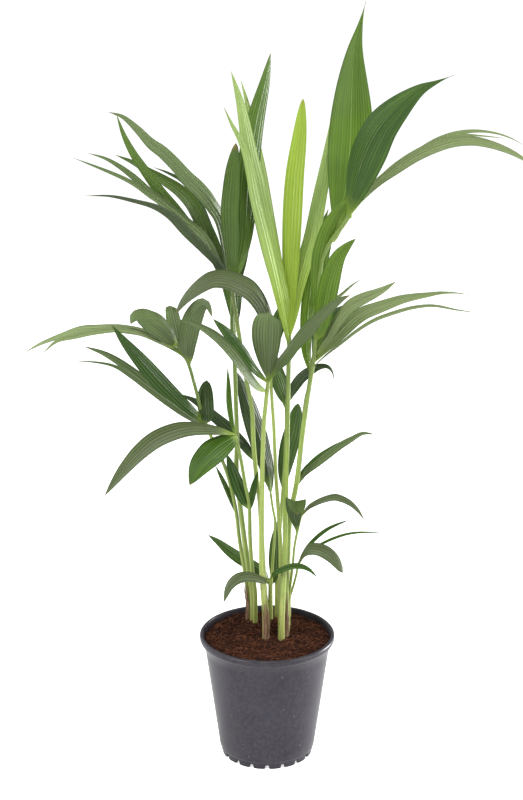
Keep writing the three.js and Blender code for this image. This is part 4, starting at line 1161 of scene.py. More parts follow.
@dataclass(frozen=True)
class PotFinish(Finish):
    """Moulded dark plastic: satin, with faint rings, rubbed spots and dust."""

    dark: Colour = (0.0205, 0.0195, 0.029)
    light: Colour = (0.029, 0.0275, 0.039)
    rubbed: Colour = (0.42, 0.41, 0.4)
    dust: Colour = (0.2, 0.15, 0.12)
    ring_levels: tuple[float, ...] = (150.0, 149.2, 36.0)
    ring_width: float = 0.5
    rim_level: float = 171.0
    rim_fade: float = 6.0
    low_level: float = 30.0
    patch_scale: float = 18.0
    patch_seed: float = 0.3
    spot_scale: float = 140.0
    low_rub: float = 0.8
    stray_rub: float = 0.5
    rub_share: float = 0.6
    dust_share: float = 0.1
    gloss: float = 0.29
    fleck_rough: float = 0.05
    rub_rough: float = 0.2
    sheen: float = 0.28
    grain_scale: float = 1400.0
    grain_height: float = 0.05
    relief_depth: float = 0.6
    relief_strength: float = 0.35

    def material(self, effects: Effects) -> bpy.types.Material:
        """Builds the material from the shared effects."""
        made, sheet, shader, _ = self.start()
        _, _, level = sheet.read("grow")
        place = sheet.own_place()
        mottle = sheet.effect(effects.mottle, vector=place, scale=self.patch_scale,
                              seed=self.patch_seed)
        spots = sheet.noise(place, self.spot_scale, detail=5.0, roughness=0.75)
        colour = sheet.mix(mottle["Patch"], self.dark, self.light)
        on_rim = sheet.ease(level, self.rim_level, self.rim_level + self.rim_fade)
        low = sheet.ease(level, 0.0, self.low_level, 1.0, 0.0)
        touched = sheet.math("MAXIMUM", on_rim, sheet.times(low, self.low_rub))
        rub = sheet.times(sheet.ease(spots, 0.64, 0.72), touched)
        stray = sheet.times(sheet.ease(spots, 0.74, 0.8), self.stray_rub)
        rub = sheet.math("MAXIMUM", rub, stray)
        settled = sheet.times(mottle["Fleck"], self.dust_share)
        dusty = sheet.times(sheet.math("MAXIMUM", low, on_rim), settled)
        colour = sheet.mix(dusty, colour, self.dust)
        colour = sheet.mix(sheet.times(rub, self.rub_share), colour, self.rubbed)
        sheet.feed(shader.inputs["Base Color"], colour)
        shader.inputs["Specular IOR Level"].default_value = self.sheen
        rough = sheet.gain(mottle["Fleck"], self.fleck_rough, self.gloss)
        sheet.feed(shader.inputs["Roughness"], sheet.gain(rub, self.rub_rough, rough))
        grain = sheet.noise(place, self.grain_scale, detail=2.0)
        height = sheet.gain(grain, self.grain_height, self._rings(sheet, level))
        sheet.relief(shader, height, self.relief_depth, self.relief_strength)
        return made

    def _rings(self, sheet: NodeSheet, level: Socket) -> Socket:
        """The height of the fine rings round the wall."""
        lines = None
        for ring in self.ring_levels:
            gap = sheet.math("ABSOLUTE", sheet.math("SUBTRACT", level, ring))
            line = sheet.ease(gap, 0.0, self.ring_width, 1.0, 0.0)
            lines = line if lines is None else sheet.math("MAXIMUM", lines, line)
        return lines


@dataclass(frozen=True)
class FloorFinish(Finish):
    """The pale floor that the pot stands on."""

    colour: Colour = (0.9, 0.9, 0.9)
    speck_shade: float = 0.985
    speck_scale: float = 30.0
    seen_glow: float = 0.78
    cast_glow: float = 0.1
    roughness: float = 0.9
    sheen: float = 0.1

    def material(self) -> bpy.types.Material:
        """Builds the material."""
        made, sheet, shader, _ = self.start()
        speck = sheet.noise(sheet.own_place(), self.speck_scale)
        shade = tuple(self.speck_shade * part for part in self.colour)
        colour = sheet.mix(speck, shade, self.colour)
        sheet.feed(shader.inputs["Base Color"], colour)
        sheet.feed(shader.inputs["Emission Color"], colour)
        seen = sheet.add("ShaderNodeLightPath").outputs["Is Camera Ray"]
        glow = sheet.ease(seen, 0.0, 1.0, self.cast_glow, self.seen_glow)
        sheet.feed(shader.inputs["Emission Strength"], glow)
        shader.inputs["Roughness"].default_value = self.roughness
        shader.inputs["Specular IOR Level"].default_value = self.sheen
        # The floor's glow is seen and mirrored, but it isn't sampled as a lamp.
        made.cycles.emission_sampling = "NONE"
        return made


# ---------------------------------------------------------------- pot and soil


@dataclass
class NurseryPot:
    """The moulded pot: flared lip, tapered wall, floor with drain holes, notched feet.

    Sizes are in millimetres, and a notch's side is in degrees round the pot.
    """

    height: float = 182.0
    rim_radius: float = 95.2
    lip: float = 7.0
    throat_radius: float = 89.0
    throat_level: float = 169.0
    flare_level: float = 150.0
    shoulder_level: float = 159.0
    shoulder: float = 1.2
    wall_top_radius: float = 86.0
    wall_foot_radius: float = 67.3
    wall_foot_rise: float = 2.0
    wall: float = 1.8
    outside_rings: int = 13
    inside_rings: int = 9
    floor_level: float = 10.0
    floor: float = 2.5
    floor_ring: float = 20.0
    eye_radius: float = 0.05
    foot_radius: float = 65.0
    foot_wall: float = 3.0
    foot_count: int = 18
    foot_zone: float = 50.0
    foot_columns: int = 10
    notch_columns: int = 9
    notch_side: float = 0.35
    notch_share: float = 0.26
    notch_height: float = 6.0
    notch_arch: float = 0.4
    corner: float = 1.3
    drain_count: int = 6
    drain_radius: float = 7.0
    drain_ring: float = 42.0
    drain_margin: float = 0.5
    drain_sides: int = 32
    drill_length: float = 12.0

    def inside_radius(self, level: float) -> float:
        """Inside radius of the wall at a level."""
        foot = self.floor_level + self.wall_foot_rise
        share = (level - foot) / (self.flare_level - foot)
        taper = self.wall_top_radius - self.wall_foot_radius
        return self.wall_foot_radius + taper * share - self.wall

    def profile(self) -> list[tuple[float, float]]:
        """The section from the floor's underside, round the outside and in to the floor."""
        low, flare, top = self.floor_level, self.flare_level, self.height
        foot, inner_foot = self.foot_radius, self.foot_radius - self.foot_wall
        edge, rim, throat = self.wall_top_radius, self.rim_radius, self.throat_radius
        reach = self.drain_radius + self.drain_margin
        floor = (0.0, self.floor_ring, self.drain_ring - reach, self.drain_ring + reach)
        outside = np.linspace(low + self.wall_foot_rise, flare, self.outside_rings)
        inside = np.linspace(flare, low + self.floor, self.inside_rings)
        return [
            *[(radius, low) for radius in floor],
            (inner_foot - 0.3, low), (inner_foot, low - 0.4), (inner_foot - 0.5, 0.5),
            (inner_foot - 0.2, 0.0), (foot - 1.1, 0.0), (foot - 0.6, 0.5),
            (foot - 0.1, low - 2.0), (foot + 0.3, low - 1.0), (foot + 1.4, low + 0.6),
            (self.wall_foot_radius - 0.3, low + 1.4),
            *[(self.inside_radius(z) + self.wall, z) for z in outside],
            (edge + 0.5, flare + 4.6), (edge + self.shoulder, self.shoulder_level),
            (edge + 2.3, flare + 12.7), (edge + 3.8, flare + 16.0), (edge + 5.2, flare + 19.2),
            (edge + 6.6, flare + 22.0), (rim - 0.9, top - self.lip - 1.2),
            (rim - 0.3, top - self.lip), (rim - 0.1, top - 5.0), (rim, top - 3.0),
            (rim - 0.2, top - 1.9), (rim - 0.8, top - 1.0), (rim - 1.5, top - 0.3),
            (rim - 2.2, top), (throat + 2.0, top), (throat + 1.4, top - 0.5),
            (throat + 1.0, top - 1.5), (throat + 0.5, top - 7.0), (throat, self.throat_level),
            (throat - 2.0, self.throat_level - 5.6),
            (self.inside_radius(flare) + self.shoulder, self.shoulder_level),
            *[(self.inside_radius(z), z) for z in inside],
            *[(radius, low + self.floor) for radius in reversed(floor)],
        ]

    def turns(self) -> np.ndarray:
        """The angles of the columns, close on each side of a notch's edges."""
        pitch = 2 * math.pi / self.foot_count
        half = pitch * (1 - self.notch_share) / 2
        step = math.radians(self.notch_side)
        foot = np.linspace(-half, half, self.foot_columns)
        gap = np.linspace(half + step, pitch - half - step, self.notch_columns)
        return np.concatenate([k * pitch + np.concatenate([foot, gap])
                               for k in range(self.foot_count)])

    def lift(self, turns: np.ndarray) -> np.ndarray:
        """How far the underside is raised at each column: feet with soft corners, arched gaps."""
        pitch = 2 * math.pi / self.foot_count
        half = pitch * (1 - self.notch_share) / 2
        off = np.abs((turns + pitch / 2) % pitch - pitch / 2)
        aside = (pitch / 2 - off) / (pitch * self.notch_share / 2)
        arch = self.notch_height * (1 - self.notch_arch * np.minimum(aside, 1) ** 4)
        corner = self.corner * np.minimum(off / half, 1) ** 6
        in_gap = off > half + math.radians(self.notch_side) / 2
        return np.where(in_gap, arch, corner)

    def build(self, plastic: bpy.types.Material) -> bpy.types.Object:
        """Builds and dresses the pot.

        Args:
            plastic: Its material.

        Returns:
            The pot.
        """
        turns = self.turns()
        lift = self.lift(turns)
        rings, levels = [], []
        for radius, level in self.profile():
            near_foot = level < self.notch_height and radius > self.foot_zone
            heights = np.maximum(level, lift) if near_foot else np.full_like(turns, level)
            reach = max(radius, self.eye_radius)
            rings.append(np.stack([reach * np.cos(turns), reach * np.sin(turns), heights], -1))
            levels.append(np.stack([turns, heights, np.full_like(turns, level)], -1))
        parts = MeshParts()
        parts.tube(np.array(rings), 0, np.array(levels).reshape(-1, 3), np.zeros(3))
        made = parts.piece("nursery_pot", [plastic], "pot_plastic", ["pot"], sharp=40.0)
        self._drill(made)
        return made

    def _drill(self, pot: bpy.types.Object) -> None:
        """Cuts the drain holes through the floor."""
        for k in range(self.drain_count):
            turn = 2 * math.pi * k / self.drain_count
            place = (self.drain_ring * MM * math.cos(turn), self.drain_ring * MM * math.sin(turn),
                     self.floor_level * MM)
            bpy.ops.mesh.primitive_cylinder_add(
                vertices=self.drain_sides, radius=self.drain_radius * MM,
                depth=self.drill_length * MM, location=place)
            bit = bpy.context.object
            cut = pot.modifiers.new("drain", "BOOLEAN")
            cut.object = bit
            cut.operation = "DIFFERENCE"
            cut.solver = "EXACT"
            bpy.context.view_layer.objects.active = pot
            bpy.ops.object.modifier_apply(modifier=cut.name)
            bpy.data.objects.remove(bit)


@dataclass
class PottingSoil:
    """The root ball, mounded under the stems, with its rough top."""

    pot: NurseryPot
    edge_level: float = 173.0
    rise: float = 8.0
    mound: tuple[float, float] = (-4.0, 34.0)
    mound_spread: float = 46.0
    swell_height: float = 1.4
    swell_size: float = 9.0
    swell_slant: tuple[float, float] = (0.4, -0.3)
    clod_height: float = 2.0
    clod_size: float = 11.0
    clod_layer: float = 3.0
    # How fast the finer forms in a clod fade, how much finer each is, and how many there are.
    clod_forms: tuple[float, float, int] = (0.9, 2.1, 4)
    grain_height: float = 0.9
    grain_size: float = 1.7
    grain_layer: float = 9.0
    clearance: float = 0.6
    floor_gap: float = 0.3
    eye_radius: float = 0.2
    rings: int = 78
    sides: int = 240

    def level(self, x: float, y: float) -> float:
        """Level of the surface at a place, without its fine roughness."""
        cx, cy = self.mound
        by_y, by_x = self.swell_slant
        swell = self.rise * math.exp(-((x - cx) ** 2 + (y - cy) ** 2) / self.mound_spread**2)
        lumps = math.sin((x + by_y * y) / self.swell_size) * math.sin(
            (y + by_x * x) / self.swell_size + 1)
        return self.edge_level + swell + self.swell_height * lumps

    def rough(self, x: float, y: float) -> float:
        """Level of the surface with clods and grains, each from its own layer of noise."""
        clod_place = Vector((x / self.clod_size, y / self.clod_size, self.clod_layer))
        grain_place = Vector((x / self.grain_size, y / self.grain_size, self.grain_layer))
        clods = noise.fractal(clod_place, *self.clod_forms) * self.clod_height
        return self.level(x, y) + clods + noise.noise(grain_place) * self.grain_height

    def spot(self, draw: random.Random, margin: float) -> tuple[float, float]:
        """A random place on the surface, away from the wall."""
        radius = (self.pot.throat_radius - margin) * math.sqrt(draw.random())
        turn = draw.uniform(0, 2 * math.pi)
        return radius * math.cos(turn), radius * math.sin(turn)

    def _ring(self, radius: float, level: float | None = None) -> np.ndarray:
        """Points round the ball, on its rough surface where no level is given."""
        turns = np.linspace(0, 2 * math.pi, self.sides, endpoint=False)
        x, y = radius * np.cos(turns), radius * np.sin(turns)
        z = [self.rough(a, b) if level is None else level for a, b in zip(x, y)]
        return np.stack([x, y, np.array(z)], -1)

    def build(self, mix: bpy.types.Material) -> bpy.types.Object:
        """Builds and dresses the closed root ball.

        Args:
            mix: Its material.

        Returns:
            The root ball.
        """
        pot = self.pot
        low = pot.floor_level + pot.floor + self.floor_gap
        flared = pot.inside_radius(pot.flare_level)
        reach = pot.throat_radius - self.clearance
        rings = [self._ring(pot.inside_radius(low) - self.clearance, low),
                 self._ring(flared - self.clearance, pot.flare_level),
                 self._ring(flared + pot.shoulder - self.clearance, pot.shoulder_level),
                 self._ring(reach, pot.throat_level)]
        rings += [self._ring(reach * k / self.rings) for k in range(self.rings, 0, -1)]
        rings.append(self._ring(self.eye_radius))
        parts = MeshParts()
        parts.tube(np.array(rings), 0, np.array([0, 0, 0.5]), np.zeros(3))
        return parts.piece("potting_soil", [mix], "soil", ["soil"], sharp=80.0)


@dataclass
class CoirFibres:
    """Coir fibres that lie over the soil, some standing up."""

    soil: PottingSoil
    count: int = 2600
    seed: int = 11
    margin: float = 3.0
    wall_gap: float = 1.5
    length: tuple[float, float] = (5.0, 20.0)
    bend: float = 0.5
    lean: tuple[float, float] = (-0.08, 0.25)
    lift: tuple[float, float] = (0.1, 1.2)
    radius: tuple[float, float] = (0.16, 0.42)
    taper: tuple[float, ...] = (0.7, 1.0, 1.0, 0.9, 0.7, 0.3)
    sides: int = 4

    def build(self, mix: bpy.types.Material) -> bpy.types.Object:
        """Builds and dresses the fibres.

        Args:
            mix: Their material.

        Returns:
            The fibres, as one piece.
        """
        draw = random.Random(self.seed)
        parts = MeshParts()
        stations = len(self.taper)
        angles = np.linspace(0, 2 * math.pi, self.sides, endpoint=False)
        for _ in range(self.count):
            curve = SmoothCurve(self._route(draw, stations))
            radius = draw.uniform(*self.radius)
            stops = Stops.on(curve, np.linspace(0, 1, stations), (0, 0, 1))
            girth = radius * np.array(self.taper)
            rings = stops.place[:, None] + girth[:, None, None] * stops.outward(angles)
            parts.tube(rings, 0, np.array([0, 0, draw.random()]),
                       np.array([0, 0, draw.random() ** 2]))
        return parts.piece("soil_fibres", [mix], "soil")

    def _route(self, draw: random.Random, stations: int) -> list[Place]:
        """The points of one fibre.

        Args:
            draw: The fibres' random numbers.
            stations: How many points it has.

        Returns:
            The points, in millimetres.
        """
        most = self.soil.pot.throat_radius - self.wall_gap
        x, y = self.soil.spot(draw, self.margin)
        heading, length = draw.uniform(0, 2 * math.pi), draw.uniform(*self.length)
        bend, lean = draw.gauss(0, self.bend), draw.uniform(*self.lean)
        lift = draw.uniform(*self.lift)
        places = []
        for k in range(stations):
            share = k / (stations - 1)
            angle = heading + bend * share
            x += math.cos(angle) * length / stations
            y += math.sin(angle) * length / stations
            out = math.hypot(x, y)
            if out > most:
                x, y = x * most / out, y * most / out
            arch = lean * length * share * (1 - share)
            places.append((x, y, self.soil.rough(x, y) + lift + arch))
        return places


@dataclass
class PeatCrumbs:
    """Crumbs of peat and chips of bark that lie on the soil."""

    soil: PottingSoil
    count: int = 1500
    seed: int = 23
    margin: float = 4.5
    least: float = 0.7
    more: float = 1.9
    narrow: float = 0.5
    flat: float = 0.7
    tilts: tuple[float, ...] = (0.15, 0.75, 1.5, 2.3, 3.0)
    wobble: tuple[float, float] = (0.75, 1.2)
    sit: float = 0.4
    light: float = 0.5
    sides: int = 7

    def build(self, mix: bpy.types.Material) -> bpy.types.Object:
        """Builds and dresses the crumbs.

        Args:
            mix: Their material.

        Returns:
            The crumbs, as one piece.
        """
        draw = random.Random(self.seed)
        parts = MeshParts()
        for _ in range(self.count):
            x, y = self.soil.spot(draw, self.margin)
            size = self.least + self.more * draw.random() ** 3
            rings = self._crumb(draw, size)
            level = self.soil.rough(x, y) + size * draw.uniform(0.0, self.sit)
            parts.tube(rings + np.array([x, y, level]), 0, np.array([0, 0, draw.random()]),
                       np.array([0, 0, self.light * draw.random() ** 3]))
        return parts.piece("soil_crumbs", [mix], "soil")

    def _crumb(self, draw: random.Random, size: float) -> np.ndarray:
        """The rings of one crumb about its middle."""
        turns = np.linspace(0, 2 * math.pi, self.sides, endpoint=False)
        stretch, heading = draw.uniform(self.narrow, 1.0), draw.uniform(0, math.pi)
        c, s = math.cos(heading), math.sin(heading)
        rings = []
        for tilt in self.tilts:
            wobble = np.array([draw.uniform(*self.wobble) for _ in turns])
            across = size * math.sin(tilt) * wobble
            a, b = across * np.cos(turns), across * np.sin(turns) * stretch
            level = np.full(self.sides, -size * self.flat * math.cos(tilt))
            rings.append(np.stack([a * c - b * s, a * s + b * c, level], -1))
        return np.array(rings)


# ---------------------------------------------------------------- the palm


@dataclass
class Frond:
    """One frond: its grooved stalk and the leaflets that grow from it.

    Sizes are in millimetres and turns in radians. Swell and groove are shares of the
    stalk's radius, and fold and wave are shares of half a leaflet's width.
    """

    plan: FrondPlan
    stem_end: float = 150.0
    soil_level: float = 172.0
    girth_power: float = 0.6
    swell: float = 0.14
    swell_height: float = 22.0
    tip_girth: float = 0.6
    groove: float = 0.16
    groove_width: float = 0.45
    brown: float = 0.9
    brown_height: float = 38.0
    green_height: float = 500.0
    stalk_lights: tuple[float, float] = (0.0, 0.6)
    stalk_sides: int = 16
    stalk_step: float = 6.0
    row_step: float = 4.2
    row_limits: tuple[int, int] = (20, 84)
    column_step: float = 2.6
    column_limits: tuple[int, int] = (5, 15)
    least_down: float = 1.0
    least_width: float = 0.5
    root_share: float = 0.16
    twist: float = 0.22
    fold: float = 0.3
    fold_power: float = 1.2
    pleat: float = 0.42
    pleat_pitch: float = 7.5
    midrib: float = 0.35
    midrib_width: float = 0.05
    wave: float = 0.05
    wave_beats: tuple[float, float] = (1.2, 2.6)
    wave_gap: float = 0.8
    wave_lag: float = 2.2
    thickness: float = 0.5
    rim_thinning: float = 0.45
    root_thickness: float = 1.6
    root_length: float = 5.0
    tip_taper: float = 12.0
    tip_thickness: float = 0.35
    dry_tips: tuple[float, ...] = (0.0, 0.2, 0.5)

    def axis(self) -> SmoothCurve:
        """The curve of the axis, from its buried end."""
        x, y, _ = self.plan.axis[0]
        return SmoothCurve([(x, y, self.stem_end), *self.plan.axis])

    def radius(self, shares: np.ndarray) -> np.ndarray:
        """Radius of the stalk at shares of its length."""
        foot, top = self.plan.girth
        return foot + (top - foot) * shares**self.girth_power

    def build(self, leaf: bpy.types.Material, stalk: bpy.types.Material) -> bpy.types.Object:
        """Builds and dresses the frond.

        Args:
            leaf: The material of its leaflets.
            stalk: The material of its stalk.

        Returns:
            The frond.
        """
        draw = random.Random(self.plan.node)
        parts = MeshParts()
        axis = self.axis()
        self._stalk(parts, axis, draw)
        for leaflet in self.plan.leaflets:
            share = 1 - max(leaflet.down, self.least_down) / axis.length
            root = axis.at(np.array([share]))[0]
            curve = SmoothCurve([tuple(root), *leaflet.rib])
            self._blade(parts, curve, leaflet, draw)
        name = self.plan.node + "_foliage"
        return parts.piece(name, [stalk, leaf], self.plan.tone.value, [self.plan.node])

    def _stalk(self, parts: MeshParts, axis: SmoothCurve, draw: random.Random) -> None:
        """Adds the stalk: round, with a shallow groove on its face and a swollen foot.

        Args:
            parts: What it is added to.
            axis: Its curve.
            draw: The frond's random numbers.
        """
        rows = int(axis.length / self.stalk_step)
        shares = np.linspace(0, 1, rows)
        stops = Stops.on(axis, shares, (0.0, -1.0, 0.0))
        turns = np.linspace(-math.pi, math.pi, self.stalk_sides, endpoint=False)
        level = stops.place[:, 2] - self.soil_level
        above = np.maximum(level, 0.0)
        radius = self.radius(shares) * (1 + self.swell * np.exp(-above / self.swell_height))
        radius[-1] *= self.tip_girth
        groove = 1 - self.groove * np.exp(-(turns / self.groove_width) ** 2)
        ring = radius[:, None] * groove[None, :]
        rings = stops.place[:, None] + ring[..., None] * stops.outward(turns)
        green = np.clip(level / self.green_height, 0, 1)[:, None]
        brown = self.brown * np.exp(-above / self.brown_height)[:, None]
        grow = marks(rows, self.stalk_sides, turns / math.pi, green, draw.random())
        trait = marks(rows, self.stalk_sides, 0.0, brown, draw.uniform(*self.stalk_lights))
        parts.tube(rings, 0, grow, trait)

    def outline(self, shares: np.ndarray, form: Form) -> np.ndarray:
        """Share of the full width along a leaflet of a form, from its narrow root."""
        rise, fall = form.value
        widest = rise / (rise + fall)
        shape = shares**rise * (1 - shares) ** fall / (widest**rise * (1 - widest) ** fall)
        return np.maximum(shape, self.root_share * (1 - shares))

    def _blade(self, parts: MeshParts, curve: SmoothCurve, leaflet: Leaflet,
               draw: random.Random) -> None:
        """Adds a leaflet.

        Args:
            parts: What it is added to.
            curve: Its rib.
            leaflet: Its plan.
            draw: The frond's random numbers.
        """
        rows = int(np.clip(curve.length / self.row_step, *self.row_limits))
        columns = 2 * int(np.clip(leaflet.width / self.column_step, *self.column_limits)) + 1
        pleats = max(2, round(leaflet.width / self.pleat_pitch))
        shares, across = np.linspace(0, 1, rows), np.linspace(-1, 1, columns)
        twist = draw.uniform(-self.twist, self.twist)
        stops = Stops.on(curve, shares, leaflet.face).turned(twist * (shares - 0.5))
        width = np.maximum(leaflet.width * self.outline(shares, leaflet.form), self.least_width)
        half = width / 2
        lift = self._relief(half, shares, across, pleats, draw)
        thick = self._thickness(shares, across, curve.length) / 2
        middle = (stops.place[:, None] + stops.side[:, None] * (half[:, None] * across)[..., None]
                  + stops.up[:, None] * lift[..., None])
        upper = middle + stops.up[:, None] * thick[..., None]
        lower = middle - stops.up[:, None] * thick[..., None]
        seed = math.floor(draw.random() * SEED_STEPS) / SEED_STEPS
        grow = marks(rows, columns, across, shares[:, None], pleats + seed)
        # The look's light is painted light or shade, and its pale and dusky shares are painted
        # sheen and shade.
        light, *tint = leaflet.look.value
        trait = marks(rows, columns, 0.0, draw.choice(self.dry_tips), light)
        parts.sheet(upper, lower, 1, grow, trait, tint)

    def _relief(self, half: np.ndarray, shares: np.ndarray, across: np.ndarray, pleats: int,
                draw: random.Random) -> np.ndarray:
        """The height of a blade's fold, pleats, waved edges and midrib.

        Args:
            half: Half its width at each row.
            shares: The share along at each row.
            across: The share across at each column.
            pleats: How many it has on each side.
            draw: The frond's random numbers.

        Returns:
            The height in millimetres, by row and column.
        """
        beat, phase = draw.uniform(*self.wave_beats), draw.uniform(0, 2 * math.pi)
        left = np.sin(2 * math.pi * beat * shares + phase)
        right = np.sin(2 * math.pi * (beat + self.wave_gap) * shares + self.wave_lag * phase)
        swing = (self.wave * half * np.sin(math.pi * shares))[:, None]
        waves = swing * np.where(across < 0, left[:, None], right[:, None]) * across**2
        share = (half / half.max())[:, None]
        fold = -self.fold * half[:, None] * np.abs(across)[None, :] ** self.fold_power
        ridges = np.cos(2 * math.pi * pleats * across)[None, :]
        folds = fold + self.pleat * share * ridges * (1 - across**8)
        midrib = self.midrib * np.exp(-(across / self.midrib_width) ** 2)[None, :] * share
        return folds + waves + midrib

    def _thickness(self, shares: np.ndarray, across: np.ndarray, length: float) -> np.ndarray:
        """The thickness of a blade: stout at its root, thin at its edges and its tip.

        Args:
            shares: The share along at each row.
            across: The share across at each column.
            length: The blade's length.

        Returns:
            The thickness in millimetres, by row and column.
        """
        plain = self.thickness * (1 - self.rim_thinning * np.abs(across))[None, :]
        root = self.root_thickness * np.exp(-shares * length / self.root_length)[:, None]
        tip = np.clip((1 - shares) * self.tip_taper, self.tip_thickness, 1)[:, None]
        return (plain + root) * tip


@dataclass
class Husk:
    """A dry sheath round the foot of a stalk, torn into strips at its top.

    Sizes are in millimetres, and the spread is in degrees round the stalk.
    """

    node: str
    frond: Frond
    facing: Place
    height: float
    spread: float
    start_level: float
    strips: int = 7
    rows: int = 22
    columns: int = 6
    tear: tuple[float, float] = (0.55, 1.0)
    shoulder: float = 0.5
    overlap: float = 0.05
    narrowing: float = 0.7
    narrow_power: float = 2.5
    girth: float = 1.08
    clearance: float = 0.7
    looseness: float = 0.4
    peel: float = 2.0
    ruffle: float = 0.25
    thickness: float = 0.4

    def build(self, material: bpy.types.Material) -> bpy.types.Object:
        """Builds and dresses the husk.

        Args:
            material: Its material.

        Returns:
            The husk.
        """
        draw = random.Random(self.node)
        parts = MeshParts()
        for k in range(self.strips):
            self._strip(parts, k, draw)
        return parts.piece(self.node + "_fibres", [material], "husk", [self.node])

    def _strip(self, parts: MeshParts, k: int, draw: random.Random) -> None:
        """Adds one strip.

        Args:
            parts: What it is added to.
            k: Its number, from one side to the other.
            draw: The husk's random numbers.
        """
        axis = self.frond.axis()
        start = (self.start_level - self.frond.stem_end) / axis.length
        off_middle = abs((k + 0.5) / self.strips - 0.5)
        reach = self.height * draw.uniform(*self.tear) * (1 - self.shoulder * off_middle)
        shares = start + np.linspace(0, reach, self.rows) / axis.length
        stops = Stops.on(axis, shares, self.facing)
        low, high = [math.radians(self.spread) * (each / self.strips - 0.5)
                     for each in (k - self.overlap, k + (1 + self.overlap))]
        along = np.linspace(0, 1, self.rows)[:, None]
        narrow = along**self.narrow_power
        across = np.linspace(low, high, self.columns)
        middle = (low + high) / 2
        turns = across * (1 - self.narrowing * narrow) + middle * self.narrowing * narrow
        away = (self.clearance + draw.uniform(0, self.looseness)
                + draw.uniform(0, self.peel) * narrow)
        ruffle = self.ruffle * np.sin(9 * turns + 5 * k + 14 * along)
        radius = self.frond.radius(shares)[:, None] * self.girth + away + ruffle
        outward = stops.outward(turns)
        upper = stops.place[:, None] + outward * (radius + self.thickness)[..., None]
        lower = stops.place[:, None] + outward * radius[..., None]
        grow = marks(self.rows, self.columns, turns, along, draw.random())
        parts.sheet(upper, lower, 0, grow, marks(self.rows, self.columns, 0.0, 0.0, 0.0))


# ---------------------------------------------------------------- studio


@dataclass(frozen=True)
class SoftLight:
    """A square lamp: its place and target in metres, its side in metres and its power."""

    name: str
    place: Place
    target: Place
    size: float
    energy: float

    def build(self) -> None:
        """Hangs the lamp."""
        lamp = bpy.data.objects.new(self.name, bpy.data.lights.new(self.name, "AREA"))
        lamp.data.energy = self.energy
        lamp.data.size = self.size
        lamp.location = self.place
        aim = Vector(self.target) - Vector(self.place)
        lamp.rotation_euler = aim.to_track_quat("-Z", "Y").to_euler()
        bpy.context.scene.collection.objects.link(lamp)


@dataclass
class Studio:
    """The floor, the soft lights and the camera at the photograph's view."""

    camera_place: Place = (-0.008, -2.8, 1.5)
    camera_pitch: float = 19.12
    lens: float = 98.1
    sensor: float = 36.0
    world_light: float = 0.36
    world_seen: float = 1.0
    floor_size: float = 60.0
    lamps: tuple[SoftLight, ...] = (
        SoftLight("left_softbox", (-2.0, -1.5, 1.9), (0.0, 0.0, 0.55), 1.5, 62.0),
        SoftLight("right_softbox", (2.1, -1.3, 1.7), (0.0, 0.0, 0.5), 1.5, 46.0),
        SoftLight("top_softbox", (0.1, -1.9, 3.1), (0.0, 0.0, 0.55), 1.2, 38.0),
        SoftLight("left_rim_light", (-2.1, 1.0, 1.1), (0.0, 0.0, 0.4), 2.4, 27.0),
        SoftLight("right_rim_light", (1.9, 0.8, 0.4), (0.0, 0.0, 0.1), 0.75, 68.0),
    )

    def build(self) -> None:
        """Sets up the camera, the lights and the floor."""
        bpy.context.scene.view_settings.view_transform = "Standard"
        self._camera()
        for lamp in self.lamps:
            lamp.build()
        self._world()
        self._floor()

    def _camera(self) -> None:
        """Sets up the camera."""
        camera = bpy.data.objects.new("camera", bpy.data.cameras.new("camera"))
        camera.data.lens = self.lens
        camera.data.sensor_width = self.sensor
        camera.location = self.camera_place
        camera.rotation_euler = (math.radians(90 - self.camera_pitch), 0, 0)
        bpy.context.scene.collection.objects.link(camera)
        bpy.context.scene.camera = camera

    def _world(self) -> None:
        """Makes the surroundings: white where the camera sees them, dimmer as light."""
        world = bpy.data.worlds.new("studio")
        world.use_nodes = True
        background = world.node_tree.nodes["Background"]
        background.inputs[0].default_value = (1, 1, 1, 1)
        sheet = NodeSheet(world.node_tree)
        seen = sheet.add("ShaderNodeLightPath").outputs["Is Camera Ray"]
        strength = sheet.ease(seen, 0.0, 1.0, self.world_light, self.world_seen)
        sheet.feed(background.inputs[1], strength)
        bpy.context.scene.world = world

    def _floor(self) -> None:
        """Lays the floor, which is no part of the object."""
        half = self.floor_size / 2
        mesh = bpy.data.meshes.new("floor")
        corners = [(-half, -half, 0), (half, -half, 0), (half, half, 0), (-half, half, 0)]
        mesh.from_pydata(corners, [], [(0, 1, 2, 3)])
        mesh.materials.append(FloorFinish("pale_floor").material())
        floor = bpy.data.objects.new("floor", mesh)
        bpy.context.scene.collection.objects.link(floor)


# ---------------------------------------------------------------- the whole scene

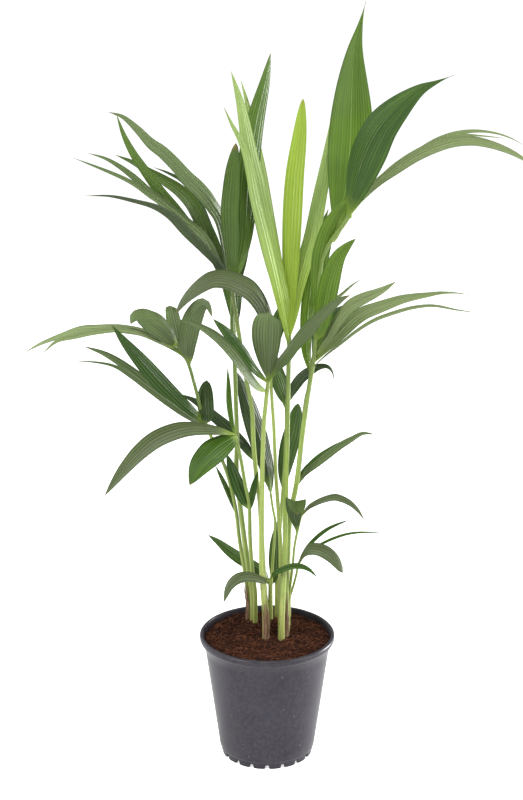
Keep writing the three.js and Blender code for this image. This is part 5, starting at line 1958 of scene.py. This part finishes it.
# A tone's pale colour is its painted sheen, and its furrow colour darkens the furrows as painted
# shade.
LEAVES: dict[Tone, LeafFinish] = {
    Tone.DEEP: LeafFinish("deep_leaf", dark=(0.018, 0.058, 0.005), bright=(0.075, 0.15, 0.012),
                          vein=(0.15, 0.22, 0.07), under=(0.05, 0.085, 0.025),
                          root=(0.17, 0.28, 0.04), pale=(0.16, 0.2, 0.11), sheen=0.45),
    Tone.MID: LeafFinish("mid_leaf", dark=(0.021, 0.066, 0.004), bright=(0.09, 0.195, 0.009),
                         vein=(0.25, 0.34, 0.12), under=(0.08, 0.13, 0.03),
                         root=(0.28, 0.4, 0.06)),
    Tone.FRESH: LeafFinish("fresh_leaf", dark=(0.13, 0.25, 0.02), bright=(0.37, 0.53, 0.06),
                           vein=(0.5, 0.62, 0.22), under=(0.2, 0.32, 0.06),
                           root=(0.36, 0.52, 0.05), pale=(0.32, 0.42, 0.24),
                           furrow=(0.7, 0.76, 0.55), ridge=(1.5, 1.35, 1.8),
                           root_reach=0.6, glow=0.25),
}

STALKS = StalkFinish("leafstalk", foot=(0.46, 0.52, 0.15), middle=(0.26, 0.36, 0.06),
                     top=(0.085, 0.16, 0.018))


def report(piece: bpy.types.Object) -> None:
    """Logs a finished piece with its number of faces."""
    log.info("%s: %d faces", piece.name, len(piece.data.polygons))


def main() -> None:
    """Builds the scene, piece by piece."""
    logging.basicConfig(level=logging.INFO, format="%(name)s %(message)s")
    Studio().build()
    effects = Effects()
    pot = NurseryPot()
    report(pot.build(PotFinish("moulded_plastic").material(effects)))
    soil = PottingSoil(pot)
    mix = SoilFinish("potting_mix").material(effects)
    for part in (soil, CoirFibres(soil), PeatCrumbs(soil)):
        report(part.build(mix))
    leaves = {tone: finish.material(effects) for tone, finish in LEAVES.items()}
    stalk = STALKS.material(effects)
    fronds = {plan.node: Frond(plan) for plan in FRONDS}
    for frond in fronds.values():
        report(frond.build(leaves[frond.plan.tone], stalk))
    dry = HuskFinish("dry_husk").material(effects)
    for node, frond_node, facing, height, spread in HUSKS:
        frond = fronds[frond_node]
        x, y, _ = frond.plan.axis[0]
        report(Husk(node, frond, facing, height, spread, soil.level(x, y)).build(dry))


if __name__ == "__main__":
    main()
